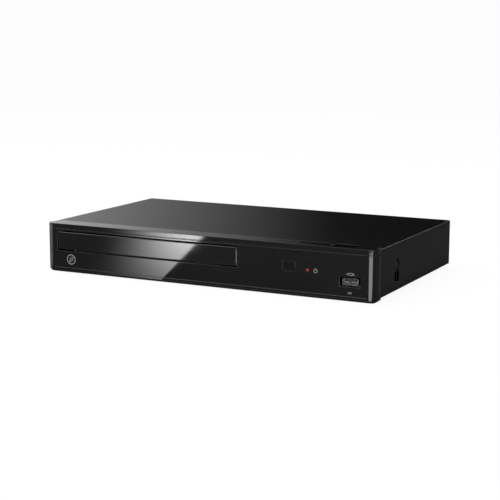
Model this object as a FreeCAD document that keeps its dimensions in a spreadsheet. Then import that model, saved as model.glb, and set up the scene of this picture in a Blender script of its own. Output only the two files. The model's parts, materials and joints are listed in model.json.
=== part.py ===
import FreeCAD, Part
import math
import os
from types import SimpleNamespace

import Sketcher

# Compact disc player with a front loading tray. Millimetres.
# X runs to the right, Y to the back and Z up. The origin is under the middle of the
# case, on the surface that its feet stand on.

SIZES = {
    # case
    "case_width": "312",
    "case_depth": "180",
    "foot_reach": "0.5",
    "panel_height": "42.9",
    "panel_depth": "18",
    "panel_wall": "2.5",
    "panel_floor": "3.2",
    "panel_corner": "6.5",
    "panel_bevel": "2",
    "panel_post_wall": "1.1",
    "panel_side_depth": "9",
    "lower_corner": "4",
    "groove_drop": "3.7",
    "groove_height": "0.8",
    "groove_depth": "0.6",
    "cover_sheet": "0.7",
    "cover_drop": "0.2",
    "cover_bend": "1.2",
    "cover_lip": "9",
    "cover_flange": "3",
    "seam": "0.15",
    "steel_lift": "3.5",
    "floor_sheet": "0.8",
    "flange_height": "12",
    "rear_sheet": "0.8",
    "rear_foot": "7",
    "rear_screw_inset": "22",
    "rear_screw_drop": "5",
    "rear_foot_inset": "40",
    "fit_gap": "0.3",
    "running_gap": "0.05",
    # vents
    "floor_vent_width": "2.4",
    "floor_vent_length": "26",
    "floor_vent_step": "6",
    "floor_vent_side": "14",
    "floor_vent_front": "22",
    "floor_vent_gap": "16",
    "rear_vent_width": "2.2",
    "rear_vent_height": "14",
    "rear_vent_lift": "7",
    "rear_vent_step": "5",
    "rear_vent_span": "105",
    # side fixing of the cover
    "side_fixing_back": "45",
    "side_fixing_lift": "24.3",
    "side_tab": "10",
    "side_tab_rise": "8",
    "dimple_radius": "5",
    "dimple_depth": "0.9",
    "side_slot_width": "10",
    "side_slot_height": "8.5",
    "side_slot_drop": "9.6",
    # feet
    "foot_radius": "9",
    "foot_rim": "1.2",
    "foot_inset_side": "21",
    "foot_inset_end": "32",
    "foot_pin_radius": "2.4",
    "foot_pin_reach": "2",
    # screws
    "screw_radius": "1.4",
    "screw_hole_radius": "1.6",
    "screw_head_radius": "3",
    "screw_head_height": "1",
    "screw_reach": "5",
    # door and tray
    "door_width": "176.1",
    "door_height": "15.8",
    "door_thickness": "3",
    "door_gap": "1.1",
    "door_lift": "20.1",
    "door_inset": "12.5",
    "tray_border": "3",
    "tray_front_border": "4.5",
    "tray_lift": "22.8",
    "tray_rim": "6",
    "disc_bed": "4.2",
    "disc_bed_radius": "61.5",
    "small_disc_bed": "0.8",
    "small_disc_radius": "41",
    "disc_sheet": "1.2",
    "tray_slot_width": "46",
    "tray_rear_bar": "5.6",
    "tray_rear_bar_sheet": "2.3",
    "tray_arm_width": "14.5",
    "tray_rear_gap": "5.1",
    "rack_inset": "8.5",
    "rack_width": "3.35",
    "rack_height": "3.6",
    "rack_end": "4",
    # gear train
    "gear_module": "1",
    "gear_teeth": "16",
    "wheel_module": "0.8",
    "wheel_teeth": "30",
    "pinion_teeth": "12",
    "gear_backlash": "0.16",
    "gear_front_gap": "0.7",
    "gear_neck_radius": "5",
    "wheel_height": "2.8",
    "wheel_gap": "1.2",
    "pulley_gap": "1.5",
    "gear_post_radius": "1.5",
    "post_shoulder": "1.2",
    "pulley_radius": "10",
    "pulley_hub_radius": "3.2",
    "motor_pulley_radius": "2.5",
    "belt_side": "1.2",
    "belt_span": "28.6",
    "motor_radius": "10",
    "motor_shaft_radius": "1",
    "motor_collar_radius": "2.5",
    "motor_air": "1",
    # drive chassis
    "drive_centre": "-55.45",
    "drive_side_gap": "2.5",
    "drive_front_gap": "1.2",
    "drive_rear_gap": "0.65",
    "drive_wall": "2.5",
    "drive_front_sheet": "1.8",
    "drive_lift": "0.6",
    "drive_floor": "2",
    "drive_front_height": "17.6",
    "drive_ear": "8",
    "drive_ear_front": "17",
    "rail_reach": "4.5",
    "rail_sheet": "2.5",
    "guide_reach": "1.5",
    "guide_sheet": "1.2",
    "guide_length": "14",
    "guide_spacing": "42",
    "bridge_sheet": "1",
    "bridge_width": "26",
    "bridge_tab": "9",
    "bridge_tab_inset": "6",
    "clamp_radius": "15",
    "clamp_neck_radius": "9",
    "clamp_sheet": "1.8",
    "clamp_cap_sheet": "1.7",
    "clamp_cap_step": "2.5",
    "clamp_recess": "1.5",
    "clamp_gap": "0.6",
    # lifting traverse
    "lift_drop": "11.54",
    "lift_lift": "12.6",
    "lift_width": "88",
    "lift_rail": "3.5",
    "lift_height": "6.8",
    "lift_tail": "3",
    "lift_ear_width": "12",
    "lift_ear_length": "14",
    "lift_ear_sheet": "1.6",
    "lift_gap": "1.2",
    "lift_front_gap": "2.4",
    "pivot_inset": "11.2",
    "pivot_rise": "4.3",
    "pivot_radius": "2",
    "pivot_block": "3.6",
    "pivot_block_reach": "4",
    "pivot_block_rise": "4.5",
    "follower_radius": "1.5",
    "follower_reach": "8.5",
    "cam_front_gap": "4.1",
    "cam_rear_gap": "3.9",
    "cam_travel": "20",
    "cam_margin": "8",
    "cam_top_margin": "2.5",
    "cam_thickness": "5",
    "cam_slack": "0.45",
    "cam_rail_width": "0.9",
    "cam_rail_height": "1.4",
    "cam_rail_margin": "10",
    "damper_radius": "3.5",
    "damper_height": "3",
    "damper_inset_side": "6.5",
    "damper_inset_end": "8",
    "plate_sheet": "1.2",
    "plate_border": "6",
    "plate_ear_border": "5",
    "plate_waist": "5.5",
    "plate_window_width": "30",
    "plate_window_front": "20",
    "plate_window_rear": "8",
    "rod_radius": "1.25",
    "rod_gap": "10",
    "rod_rise": "2.2",
    "rod_clip_width": "4.8",
    "rod_clip_sheet": "1.4",
    "rod_clip_rise": "1.9",
    "rod_end": "0.5",
    "stator_radius": "13",
    "stator_height": "1.6",
    "stator_gap": "0.6",
    "spindle_radius": "3",
    "spindle_height": "4",
    "turntable_radius": "15",
    "turntable_flange": "3",
    "bell_radius": "12",
    "hub_radius": "7.4",
    "hub_height": "2.2",
    "hub_taper": "3.4",
    "pickup_front": "6.5",
    "pickup_rear": "23.5",
    "pickup_lift": "0.4",
    "pickup_height": "6.2",
    "pickup_side_gap": "2",
    "pickup_ear": "2.6",
    "pickup_ear_inset": "3",
    "nut_front": "4",
    "nut_length": "8",
    "nut_reach": "2.5",
    "lens_offset": "24",
    "lens_radius": "2",
    "holder_width": "11.2",
    "holder_height": "1.9",
    "holder_sink": "1.1",
    "holder_rear": "5.3",
    "holder_side_gap": "0.25",
    "holder_end_gap": "0.7",
    "feed_inset": "6.5",
    "feed_drop": "0.2",
    "feed_screw_radius": "1.5",
    "feed_thread_depth": "0.35",
    "feed_thread_step": "2",
    "feed_journal": "2.5",
    "feed_bearing": "6",
    "feed_motor_radius": "4",
    "feed_motor_length": "13.8",
    "feed_flange": "7.2",
    "feed_flange_sheet": "1",
    "feed_foot_width": "3",
    "feed_foot_reach": "6.5",
    # buttons and lights
    "open_button_inset": "73.8",
    "open_button_width": "27.8",
    "power_button_inset": "41.9",
    "power_button_width": "19.8",
    "button_depth": "9",
    "button_rear_wall": "1.2",
    "button_drop": "0.2",
    "button_flange": "1",
    "button_edge": "0.3",
    "button_stem_radius": "1.5",
    "switch_width": "6",
    "switch_drop": "2.9",
    "plunger_rise": "1.5",
    "plunger_sink": "2",
    "front_board_gap": "3.1",
    "front_board_left": "16",
    "front_board_right": "4",
    "front_board_foot": "14",
    "front_screw_left": "12",
    "front_screw_right": "9",
    "light_inset": "59.4",
    "light_lift": "22.6",
    "light_radius": "1.1",
    "light_collar": "1",
    "led_width": "3.2",
    "led_height": "2",
    "led_sheet": "1.4",
    "sensor_inset": "75.9",
    "sensor_rise": "1.8",
    "sensor_width": "11",
    "sensor_height": "8",
    "sensor_gap": "0.1",
    "receiver_width": "6",
    "receiver_height": "7",
    "receiver_eye_radius": "2.2",
    # front and rear sockets
    "usb_inset": "22.5",
    "usb_lift": "16",
    "usb_width": "13.6",
    "usb_height": "5.8",
    "usb_window_width": "17.8",
    "usb_window_height": "8.2",
    "usb_depth": "15",
    "usb_recess": "1",
    "usb_board_left": "14",
    "usb_board_gap": "4",
    "usb_board_rear_gap": "10",
    "socket_sheet": "0.4",
    "hdmi_inset": "18",
    "hdmi_width": "15",
    "hdmi_depth": "12",
    "hdmi_height": "6.2",
    "lan_inset": "16",
    "lan_width": "16",
    "lan_depth": "21",
    "lan_height": "13.6",
    "inlet_inset": "24",
    "inlet_width": "22",
    "inlet_depth": "20",
    "inlet_height": "16",
    "inlet_bore_radius": "4.7",
    "inlet_bore_spacing": "8.8",
    "inlet_bore_depth": "14",
    "inlet_pin_radius": "1.2",
    "inlet_pin_recess": "5",
    "inlet_neck_step": "1.5",
    "lan_floor": "6",
    # boards
    "board_sheet": "1.6",
    "board_lift": "6",
    "board_inset": "4.5",
    "board_drive_gap": "6",
    "board_side_gap": "3.3",
    "board_rear_gap": "6",
    "boards_gap": "8",
    "main_board_depth": "130",
    "power_board_width": "52",
    "power_board_depth": "124",
    "boss_radius": "3.5",
    "sheet_thickness": "0.4",
    "chip_side": "22",
    "chip_height": "1.8",
    "sink_side": "26",
    "sink_height": "10",
    "sink_base": "2.2",
    "fin_thickness": "1.2",
    "memory_gap": "4",
    "memory_step": "13",
    "drive_chip_inset": "6",
    "drive_chip_back": "16",
    "small_can_radius": "3",
    "small_can_height": "7.5",
    "small_can_step": "9",
    "can_inset": "12",
    "coil_side": "4",
    "coil_inset": "32",
    "power_sink_back": "17",
    "big_can_side": "16",
    "big_can_radius": "8",
    "big_can_height": "24",
    "can_radius": "5",
    "can_height": "16",
    "can_step": "13",
    "can_front": "16",
    "ribbon_thickness": "0.3",
    "ribbon_width": "10",
    "drive_ribbon_front": "42",
    "drive_ribbon_width": "16",
    "power_ribbon_front": "78",
}

doc = FreeCAD.newDocument("disc_player")
sheet = doc.addObject("Spreadsheet::Sheet", "sizes")
pieces = []


class Size:
    """A length with its value and the formula that ties it to the sheet."""

    def __init__(self, formula, value):
        self.formula = formula
        self.value = value

    def __add__(self, other):
        other = as_size(other)
        return Size(f"({self.formula} + {other.formula})", self.value + other.value)

    def __sub__(self, other):
        other = as_size(other)
        return Size(f"({self.formula} - {other.formula})", self.value - other.value)

    def __mul__(self, other):
        other = as_size(other)
        return Size(f"({self.formula} * {other.formula})", self.value * other.value)

    def __truediv__(self, other):
        other = as_size(other)
        return Size(f"({self.formula} / {other.formula})", self.value / other.value)

    def __neg__(self):
        return Size(f"(0 - {self.formula})", -self.value)

    def __radd__(self, other):
        return as_size(other) + self

    def __rsub__(self, other):
        return as_size(other) - self

    def __rmul__(self, other):
        return as_size(other) * self


def as_size(number):
    """Returns a size as it is, and a plain number as a size."""
    if isinstance(number, Size):
        return number
    return Size(repr(float(number)), float(number))


def arc_sine(ratio):
    """Returns the angle in degrees whose sine is a ratio of two sizes."""
    return Size(f"asin({ratio.formula})", math.degrees(math.asin(ratio.value)))


def fill_sheet():
    """Writes the driving dimensions into the sheet and returns them by name."""
    for row, (name, text) in enumerate(SIZES.items(), start=1):
        sheet.set(f"A{row}", text)
        sheet.setAlias(f"A{row}", name)
    doc.recompute()
    return SimpleNamespace(
        **{name: Size(f"sizes.{name}", float(sheet.get(name))) for name in SIZES}
    )


s = fill_sheet()


# Shape of every tooth: the slope of its flank and its depth below the pitch line
PRESSURE_ANGLE = math.radians(20)
ROOT_SHARE = 1.25

# Places that several pieces share
front = -s.case_depth / 2
back = s.case_depth / 2
half = s.case_width / 2
panel_low = s.foot_reach
panel_top = s.foot_reach + s.panel_height
panel_rear = front + s.panel_depth
panel_inside = front + s.panel_wall
wall_under = panel_top - s.panel_wall
steel_low = panel_low + s.steel_lift
floor_top = steel_low + s.floor_sheet
cover_top = panel_top - s.cover_drop
cover_under = cover_top - s.cover_sheet
cover_front = panel_rear + s.seam
cover_side_front = front + s.panel_side_depth + s.seam
cover_rear = back - s.screw_head_height
rear_face = cover_rear - s.cover_sheet - s.seam
rear_screw_z = cover_top - s.rear_screw_drop
rear_inside = rear_face - s.rear_sheet
flange_outside = half - s.cover_sheet - s.dimple_depth - s.fit_gap
flange_inside = flange_outside - s.floor_sheet
side_fixing_y = front + s.side_fixing_back
side_fixing_z = panel_low + s.side_fixing_lift
side_slot_z = side_fixing_z - s.side_slot_drop

# Door, tray and disc
door_left = -half + s.door_inset
door_right = door_left + s.door_width
door_low = panel_low + s.door_lift
door_high = door_low + s.door_height
drive_x = s.drive_centre
tray_half = s.disc_bed_radius + s.tray_border
drive_inside = tray_half + s.drive_side_gap
drive_outside = drive_inside + s.drive_wall
drive_front = panel_inside + s.drive_front_gap
drive_rear = rear_inside - s.rear_foot - s.drive_rear_gap
drive_low = floor_top + s.drive_lift
drive_floor_top = drive_low + s.drive_floor
tray_front = front + s.door_thickness
tray_base = drive_low + s.tray_lift
tray_top = tray_base + s.tray_rim
bed_z = tray_top - s.disc_bed
disc_y = tray_front + s.tray_front_border + s.disc_bed_radius
tray_back = disc_y + s.disc_bed_radius + s.tray_rear_bar
arm_back = drive_rear - s.drive_wall - s.tray_rear_gap

# Gears, from the rack on the tray down to the motor
gear_radius = s.gear_module * s.gear_teeth / 2
wheel_radius = s.wheel_module * s.wheel_teeth / 2
pinion_radius = s.wheel_module * s.pinion_teeth / 2
rack_back_face = tray_half - s.rack_inset
rack_root = rack_back_face - s.rack_width
rack_pitch_line = rack_root - s.gear_module * ROOT_SHARE
gear_x = drive_x + rack_pitch_line - gear_radius
gear_y = drive_front + s.drive_front_sheet + s.gear_front_gap + s.wheel_module + wheel_radius
pulley_x = gear_x - wheel_radius - pinion_radius
motor_x = pulley_x - s.belt_span
rack_low = tray_base - s.rack_height
gear_low = rack_low + s.fit_gap
gear_top = tray_base - s.fit_gap
wheel_low = gear_low - s.wheel_gap - s.wheel_height
pulley_low = wheel_low - s.pulley_gap - s.wheel_height
motor_top = pulley_low - s.motor_air

# Clamp and lifting traverse
clamp_low = tray_top + s.clamp_gap
drive_top = clamp_low + s.clamp_sheet + s.clamp_gap
bridge_top = drive_top + s.bridge_sheet
turntable_top = clamp_low - s.disc_sheet - s.running_gap * 2
cam_y = gear_y + s.motor_radius + s.cam_front_gap
lift_y = cam_y + s.cam_thickness + s.cam_rear_gap
lift_low = drive_low + s.lift_lift
pivot_y = drive_rear - s.drive_wall - s.pivot_inset
pivot_z = lift_low + s.pivot_rise
lift_angle = arc_sine(s.lift_drop / (pivot_y - cam_y - s.cam_thickness / 2))
lift_rear = pivot_y + s.lift_tail
lift_half = s.lift_width / 2
plate_low = lift_low + s.lift_ear_sheet + s.damper_height
plate_top = plate_low + s.plate_sheet
feed_x = lift_half - s.lift_rail - s.feed_inset
feed_z = plate_top - s.feed_drop
rod_x = feed_x - s.rod_gap
rod_z = plate_top + s.rod_rise
rod_clip_top = rod_z + s.rod_clip_rise
damper_x = lift_half - s.lift_rail - s.damper_inset_side
damper_front = lift_y + s.lift_rail + s.damper_inset_end
damper_rear = lift_rear - s.lift_rail - s.damper_inset_end
plate_front = damper_front - s.plate_border
plate_rear = damper_rear + s.plate_border
rod_front = disc_y + s.stator_radius + s.stator_gap
rod_rear = plate_rear - s.rod_end
feed_bearing_y = damper_rear - s.plate_border

# Boards
board_low = floor_top + s.board_lift
board_top = board_low + s.board_sheet
boards_rear = back - s.board_rear_gap
power_right = flange_inside - s.board_side_gap
power_left = power_right - s.power_board_width
power_front = boards_rear - s.power_board_depth
main_left = drive_x + drive_outside + s.drive_ear + s.board_drive_gap
main_right = power_left - s.boards_gap
main_front = boards_rear - s.main_board_depth

# Buttons, light, remote sensor and sockets
open_left = half - s.open_button_inset
power_key_left = half - s.power_button_inset
button_rear = panel_rear - s.button_rear_wall
button_front = button_rear - s.button_depth
front_board_y = panel_inside + s.front_board_gap
front_board_rear = front_board_y + s.board_sheet
plunger_top = wall_under - s.switch_drop
switch_top = plunger_top - s.plunger_rise
switch_y = front_board_rear + s.switch_width / 2
light_x = half - s.light_inset
light_z = panel_low + s.light_lift
sensor_x = half - s.sensor_inset
sensor_z = light_z + s.sensor_rise
usb_x = half - s.usb_inset
usb_z = panel_low + s.usb_lift
usb_mouth = front + s.usb_recess
hdmi_x = main_right - s.hdmi_inset
lan_x = main_left + s.lan_inset
inlet_x = power_right - s.inlet_inset

# How far a cutting shape reaches past the face that it cuts, far and barely
past = 1
hair = 0.01


# Ways of making pieces
TINY = 1e-9
NEAR = 1e-4


def bind(thing, prop, size):
    """Ties one property of an object to a size."""
    thing.setExpression(prop, as_size(size).formula)


def vector(*sizes):
    """Returns a point whose coordinates are the sizes' values."""
    return FreeCAD.Vector(*[as_size(size).value for size in sizes])


def box(low, high):
    """Adds a block from its low corner to its high corner."""
    block = doc.addObject("Part::Box", "block")
    for prop, a, b in zip(("Length", "Width", "Height"), low, high):
        bind(block, prop, b - a)
    for axis, a in zip("xyz", low):
        bind(block, f"Placement.Base.{axis}", a)
    return block


def cylinder(base, radius, length, axis="z"):
    """Adds a cylinder that runs from the middle of its base along an axis."""
    rod = doc.addObject("Part::Cylinder", "cylinder")
    turns = {
        "x": FreeCAD.Rotation(FreeCAD.Vector(0, 1, 0), 90),
        "y": FreeCAD.Rotation(FreeCAD.Vector(1, 0, 0), -90),
        "z": FreeCAD.Rotation(),
    }
    rod.Placement = FreeCAD.Placement(FreeCAD.Vector(), turns[axis])
    bind(rod, "Radius", radius)
    bind(rod, "Height", length)
    for name, a in zip("xyz", base):
        bind(rod, f"Placement.Base.{name}", a)
    return rod


def cone(base, low_radius, high_radius, length):
    """Adds a cone that stands on its base."""
    solid = doc.addObject("Part::Cone", "cone")
    bind(solid, "Radius1", low_radius)
    bind(solid, "Radius2", high_radius)
    bind(solid, "Height", length)
    for name, a in zip("xyz", base):
        bind(solid, f"Placement.Base.{name}", a)
    return solid


def fuse(*solids):
    """Joins solids into one."""
    if len(solids) == 1:
        return solids[0]
    joined = doc.addObject("Part::MultiFuse", "joined")
    joined.Shapes = list(solids)
    joined.Refine = True
    return joined


def cut(solid, *tools):
    """Takes the tools away from a solid."""
    rest = doc.addObject("Part::Cut", "rest")
    rest.Base = solid
    rest.Tool = fuse(*tools)
    rest.Refine = True
    return rest


def group(*solids):
    """Keeps separate solids together as one piece."""
    together = doc.addObject("Part::Compound", "together")
    together.Links = list(solids)
    return together


def from_code(shape):
    """Adds a solid whose shape is worked out here from the sheet's sizes."""
    solid = doc.addObject("Part::Feature", "solid")
    solid.Shape = shape
    return solid


def piece(name, solid, tilted=False):
    """Names a finished piece, and lowers it with the traverse if it rides on that."""
    solid.Label = name
    if tilted:
        angle, y0, z0 = lift_angle.formula, pivot_y.formula, pivot_z.formula
        y = f"{y0} - {y0} * cos({angle}) + {z0} * sin({angle})"
        z = f"{z0} - {z0} * cos({angle}) - {y0} * sin({angle})"
        turn = f"rotation(vector(1; 0; 0); {angle})"
        solid.setExpression("Placement", f"placement(vector(0; {y}; {z}); {turn})")
    pieces.append(solid)
    return solid


def new_body():
    """Starts a body for features made one after the other."""
    return doc.addObject("PartDesign::Body", "body")


def sketch_on(body, plane, offset):
    """Opens a sketch on one of the body's own planes, moved along the plane's normal."""
    drawing = body.newObject("Sketcher::SketchObject", "sketch")
    own_plane = next(f for f in body.Origin.OriginFeatures if f.Role == plane)
    drawing.AttachmentSupport = [(own_plane, "")]
    drawing.MapMode = "FlatFace"
    bind(drawing, "AttachmentOffset.Base.z", offset)
    return drawing


def hold(drawing, geometry, point, x, y):
    """Holds a point of a sketch at its two distances from the sketch's origin."""
    for kind, axis, size in (("DistanceX", -2, x), ("DistanceY", -1, y)):
        size = as_size(size)
        if abs(size.value) < TINY:
            drawing.addConstraint(Sketcher.Constraint("PointOnObject", geometry, point, axis))
            continue
        rule = Sketcher.Constraint(kind, -1, 1, geometry, point, size.value)
        index = drawing.addConstraint(rule)
        drawing.setExpression(f"Constraints[{index}]", size.formula)


def outline(drawing, points):
    """Draws straight lines round the points and holds every one of them."""
    first = drawing.GeometryCount
    count = len(points)
    spots = [vector(x, y, 0) for x, y in points]
    lines = [Part.LineSegment(spots[i], spots[(i + 1) % count]) for i in range(count)]
    drawing.addGeometry(lines, False)
    for i in range(count):
        joint = Sketcher.Constraint("Coincident", first + i, 2, first + (i + 1) % count, 1)
        drawing.addConstraint(joint)
    for i, (x, y) in enumerate(points):
        hold(drawing, first + i, 1, x, y)


def rectangle(drawing, x0, y0, x1, y1):
    """Draws a rectangle between two corners."""
    outline(drawing, [(x0, y0), (x1, y0), (x1, y1), (x0, y1)])


def circle(drawing, x, y, radius):
    """Draws a circle round a held centre."""
    radius = as_size(radius)
    ring = Part.Circle(vector(x, y, 0), FreeCAD.Vector(0, 0, 1), radius.value)
    index = drawing.addGeometry(ring, False)
    hold(drawing, index, 3, x, y)
    rule = drawing.addConstraint(Sketcher.Constraint("Radius", index, radius.value))
    drawing.setExpression(f"Constraints[{rule}]", radius.formula)


def rounded_front(drawing, side, front_y, rear_y, radius):
    """Draws a rectangle whose two front corners are round."""
    first = drawing.GeometryCount
    corner = as_size(radius)
    spots = [
        (side, front_y + corner),
        (side, rear_y),
        (-side, rear_y),
        (-side, front_y + corner),
        (-side + corner, front_y),
        (side - corner, front_y),
    ]
    points = [vector(x, y, 0) for x, y in spots]
    for i in (0, 1, 2, 4):
        drawing.addGeometry(Part.LineSegment(points[i], points[i + 1]), False)
    centres = [
        vector(-side + corner, front_y + corner, 0),
        vector(side - corner, front_y + corner, 0),
    ]
    up = FreeCAD.Vector(0, 0, 1)
    quarter = math.pi / 2
    for centre, start in zip(centres, (2 * quarter, 3 * quarter)):
        ring = Part.Circle(centre, up, corner.value)
        drawing.addGeometry(Part.ArcOfCircle(ring, start, start + quarter), False)
    links = [(0, 2, 1, 1), (1, 2, 2, 1), (2, 2, 4, 1), (4, 2, 3, 1), (3, 2, 5, 1), (5, 2, 0, 1)]
    for a, a_end, b, b_end in links:
        joint = Sketcher.Constraint("Coincident", first + a, a_end, first + b, b_end)
        drawing.addConstraint(joint)
    held = [(0, 1), (1, 1), (2, 1), (2, 2), (3, 1), (3, 2)]
    for (geometry, point), (x, y) in zip(held, spots):
        hold(drawing, first + geometry, point, x, y)
    for arc in (first + 4, first + 5):
        rule = drawing.addConstraint(Sketcher.Constraint("Radius", arc, corner.value))
        drawing.setExpression(f"Constraints[{rule}]", corner.formula)


def pad(body, drawing, length, reverse=False):
    """Raises a sketch into a solid."""
    feature = body.newObject("PartDesign::Pad", "pad")
    feature.Profile = drawing
    feature.Reversed = reverse
    bind(feature, "Length", length)
    drawing.Visibility = False
    return feature


def pocket(body, drawing, length, reverse=False):
    """Sinks a sketch into the solid and makes sure that it took something away."""
    doc.recompute()
    before = body.Shape.Volume
    feature = body.newObject("PartDesign::Pocket", "pocket")
    feature.Profile = drawing
    feature.Reversed = reverse
    bind(feature, "Length", length)
    doc.recompute()
    if body.Shape.Volume >= before:
        raise ValueError(f"a pocket of {body.Label} cuts nothing")
    return feature


def revolve(body, points):
    """Turns a half outline, given as radius and height, round the body's Z axis."""
    drawing = sketch_on(body, "XZ_Plane", 0)
    outline(drawing, points)
    feature = body.newObject("PartDesign::Revolution", "revolution")
    feature.Profile = drawing
    feature.ReferenceAxis = (drawing, ["V_Axis"])
    feature.Angle = 360
    return feature


def row_of(body, feature, axis, step, count):
    """Repeats a feature along one of the body's own axes."""
    pattern = body.newObject("PartDesign::LinearPattern", "row")
    own_axis = next(f for f in body.Origin.OriginFeatures if f.Role == axis)
    pattern.Originals = [feature]
    pattern.Direction = (own_axis, [""])
    bind(pattern, "Length", step * (count - 1))
    pattern.Occurrences = count
    body.Tip = pattern
    return pattern


def edges_of(body, test):
    """Returns the names of the edges of the body's last feature that pass a test."""
    doc.recompute()
    edges = body.Tip.Shape.Edges
    return [f"Edge{i + 1}" for i, edge in enumerate(edges) if test(edge)]


def near(a, b):
    """Says whether a coordinate lies at a size."""
    return abs(a - as_size(b).value) < NEAR


def in_order(a, b):
    """Returns two sizes with the smaller one first."""
    a, b = as_size(a), as_size(b)
    return (a, b) if a.value <= b.value else (b, a)


def soften(body, kind, test, size):
    """Rounds or bevels the edges of the last feature that pass a test."""
    names = edges_of(body, test)
    feature = body.newObject(f"PartDesign::{kind}", kind.lower())
    feature.Base = (feature.BaseFeature or body.Tip, names)
    bind(feature, "Radius" if kind == "Fillet" else "Size", size)
    return feature


def move_body(body, x, y, z):
    """Stands a body, drawn at its own origin, where it belongs."""
    for axis, size in zip("xyz", (x, y, z)):
        bind(body, f"Placement.Base.{axis}", size)


def gear_wire(module, teeth, backlash, turned):
    """Draws an involute gear in numbers, one tooth after the other."""
    pitch_radius = module * teeth / 2
    base_radius = pitch_radius * math.cos(PRESSURE_ANGLE)
    tip_radius = pitch_radius + module
    root_radius = pitch_radius - ROOT_SHARE * module
    steps_up = (0, 1 / 3, 2 / 3, 1)

    def spread(radius):
        roll = math.acos(min(1.0, base_radius / radius))
        return math.tan(roll) - roll

    half_tooth = math.pi / (2 * teeth) - backlash / (2 * pitch_radius) + spread(pitch_radius)
    flank = max(base_radius, root_radius + module / 20)
    steps = [flank + (tip_radius - flank) * share for share in steps_up]
    points = []
    for tooth in range(teeth):
        middle = 2 * math.pi * (tooth + turned) / teeth
        side = [(root_radius, half_tooth - spread(flank))]
        side += [(radius, half_tooth - spread(radius)) for radius in steps]
        for radius, angle in side:
            points.append((radius, middle - angle))
        for radius, angle in reversed(side):
            points.append((radius, middle + angle))
    corners = [FreeCAD.Vector(r * math.cos(a), r * math.sin(a), 0) for r, a in points]
    return Part.makePolygon(corners + corners[:1])


def gear(module, teeth, low, height, turned=0.0):
    """Makes a gear wheel whose teeth come from its module and their number."""
    wire = gear_wire(module.value, round(teeth.value), s.gear_backlash.value, turned)
    disc = Part.Face(wire).extrude(FreeCAD.Vector(0, 0, as_size(height).value))
    disc.translate(vector(0, 0, low))
    return disc


# Case
def make_front_panel():
    """Plastic front with its door opening, windows and board posts."""
    body = new_body()
    profile = sketch_on(body, "XY_Plane", panel_low)
    rounded_front(profile, half, front, panel_rear, s.panel_corner)
    pad(body, profile, s.panel_height)

    hollow = sketch_on(body, "XY_Plane", panel_low + s.panel_floor)
    inner_corner = s.panel_corner - s.panel_wall
    rounded_front(hollow, half - s.panel_wall, panel_inside, panel_rear + past, inner_corner)
    pocket(body, hollow, s.panel_height - s.panel_floor - s.panel_wall, reverse=True)

    bottom = soften(
        body,
        "Chamfer",
        lambda e: all(near(v.Z, panel_low) for v in e.Vertexes)
        and e.CenterOfMass.y < panel_rear.value - NEAR,
        s.panel_bevel,
    )
    bottom.Label = "lower_bevel"

    groove = sketch_on(body, "XY_Plane", panel_top - s.groove_drop)
    rectangle(groove, -half - 2 * past, front - past, half + 2 * past, panel_rear + 2 * past)
    rounded_front(
        groove,
        half - s.groove_depth,
        front + s.groove_depth,
        panel_rear + past,
        s.panel_corner - s.groove_depth,
    )
    pocket(body, groove, s.groove_height)

    for side in (-1, 1):
        corner = sketch_on(body, "XZ_Plane", -(front - past))
        middle, level = half - s.lower_corner, panel_low + s.lower_corner
        points = [((half + past) * side, level), ((half + past) * side, panel_low - past)]
        points.append((middle * side, panel_low - past))
        steps = 6
        for step in range(steps + 1):
            angle = math.pi / 2 * step / steps
            across = middle + s.lower_corner * math.sin(angle)
            points.append((across * side, level - s.lower_corner * math.cos(angle)))
        outline(corner, points)
        pocket(body, corner, s.panel_depth + 2 * past)

    ends = sketch_on(body, "XY_Plane", panel_top)
    end = half - s.cover_flange - s.seam
    start = front + s.panel_side_depth
    rectangle(ends, end, start, half + past, panel_rear + past)
    rectangle(ends, -half - past, start, -end, panel_rear + past)
    pocket(body, ends, s.panel_height + past)

    openings = sketch_on(body, "XZ_Plane", -front)
    gap = s.door_gap
    rectangle(openings, door_left - gap, door_low - gap, door_right + gap, door_high + gap)
    windows = (
        (usb_x, usb_z, s.usb_window_width / 2, s.usb_window_height / 2),
        (sensor_x, sensor_z, s.sensor_width / 2, s.sensor_height / 2),
    )
    for x, z, side, rise in windows:
        rectangle(openings, x - side, z - rise, x + side, z + rise)
    circle(openings, light_x, light_z, s.light_radius + s.running_gap)
    pocket(body, openings, s.panel_wall + hair)

    keys = sketch_on(body, "XY_Plane", panel_top)
    near_edge, far_edge = button_front - s.fit_gap, button_rear + s.fit_gap
    for left, width in ((open_left, s.open_button_width), (power_key_left, s.power_button_width)):
        rectangle(keys, left - s.fit_gap, near_edge, left + width + s.fit_gap, far_edge)
    pocket(body, keys, s.panel_wall + hair)

    posts = sketch_on(body, "XZ_Plane", -front_board_y)
    for x, z in front_board_screws():
        circle(posts, x, z, s.screw_radius + s.panel_post_wall)
    pad(body, posts, front_board_y - panel_inside)
    holes = sketch_on(body, "XZ_Plane", -front_board_y)
    for x, z in front_board_screws():
        circle(holes, x, z, s.screw_radius + s.running_gap)
    pocket(body, holes, s.screw_reach - s.board_sheet + s.fit_gap, reverse=True)
    piece("front_panel", body)


def front_board_screws():
    """Where the front board is screwed to the panel."""
    z = board_top + s.boss_radius * 2
    return [(sensor_x - s.front_screw_left, z), (light_x + s.front_screw_right, z)]


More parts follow.
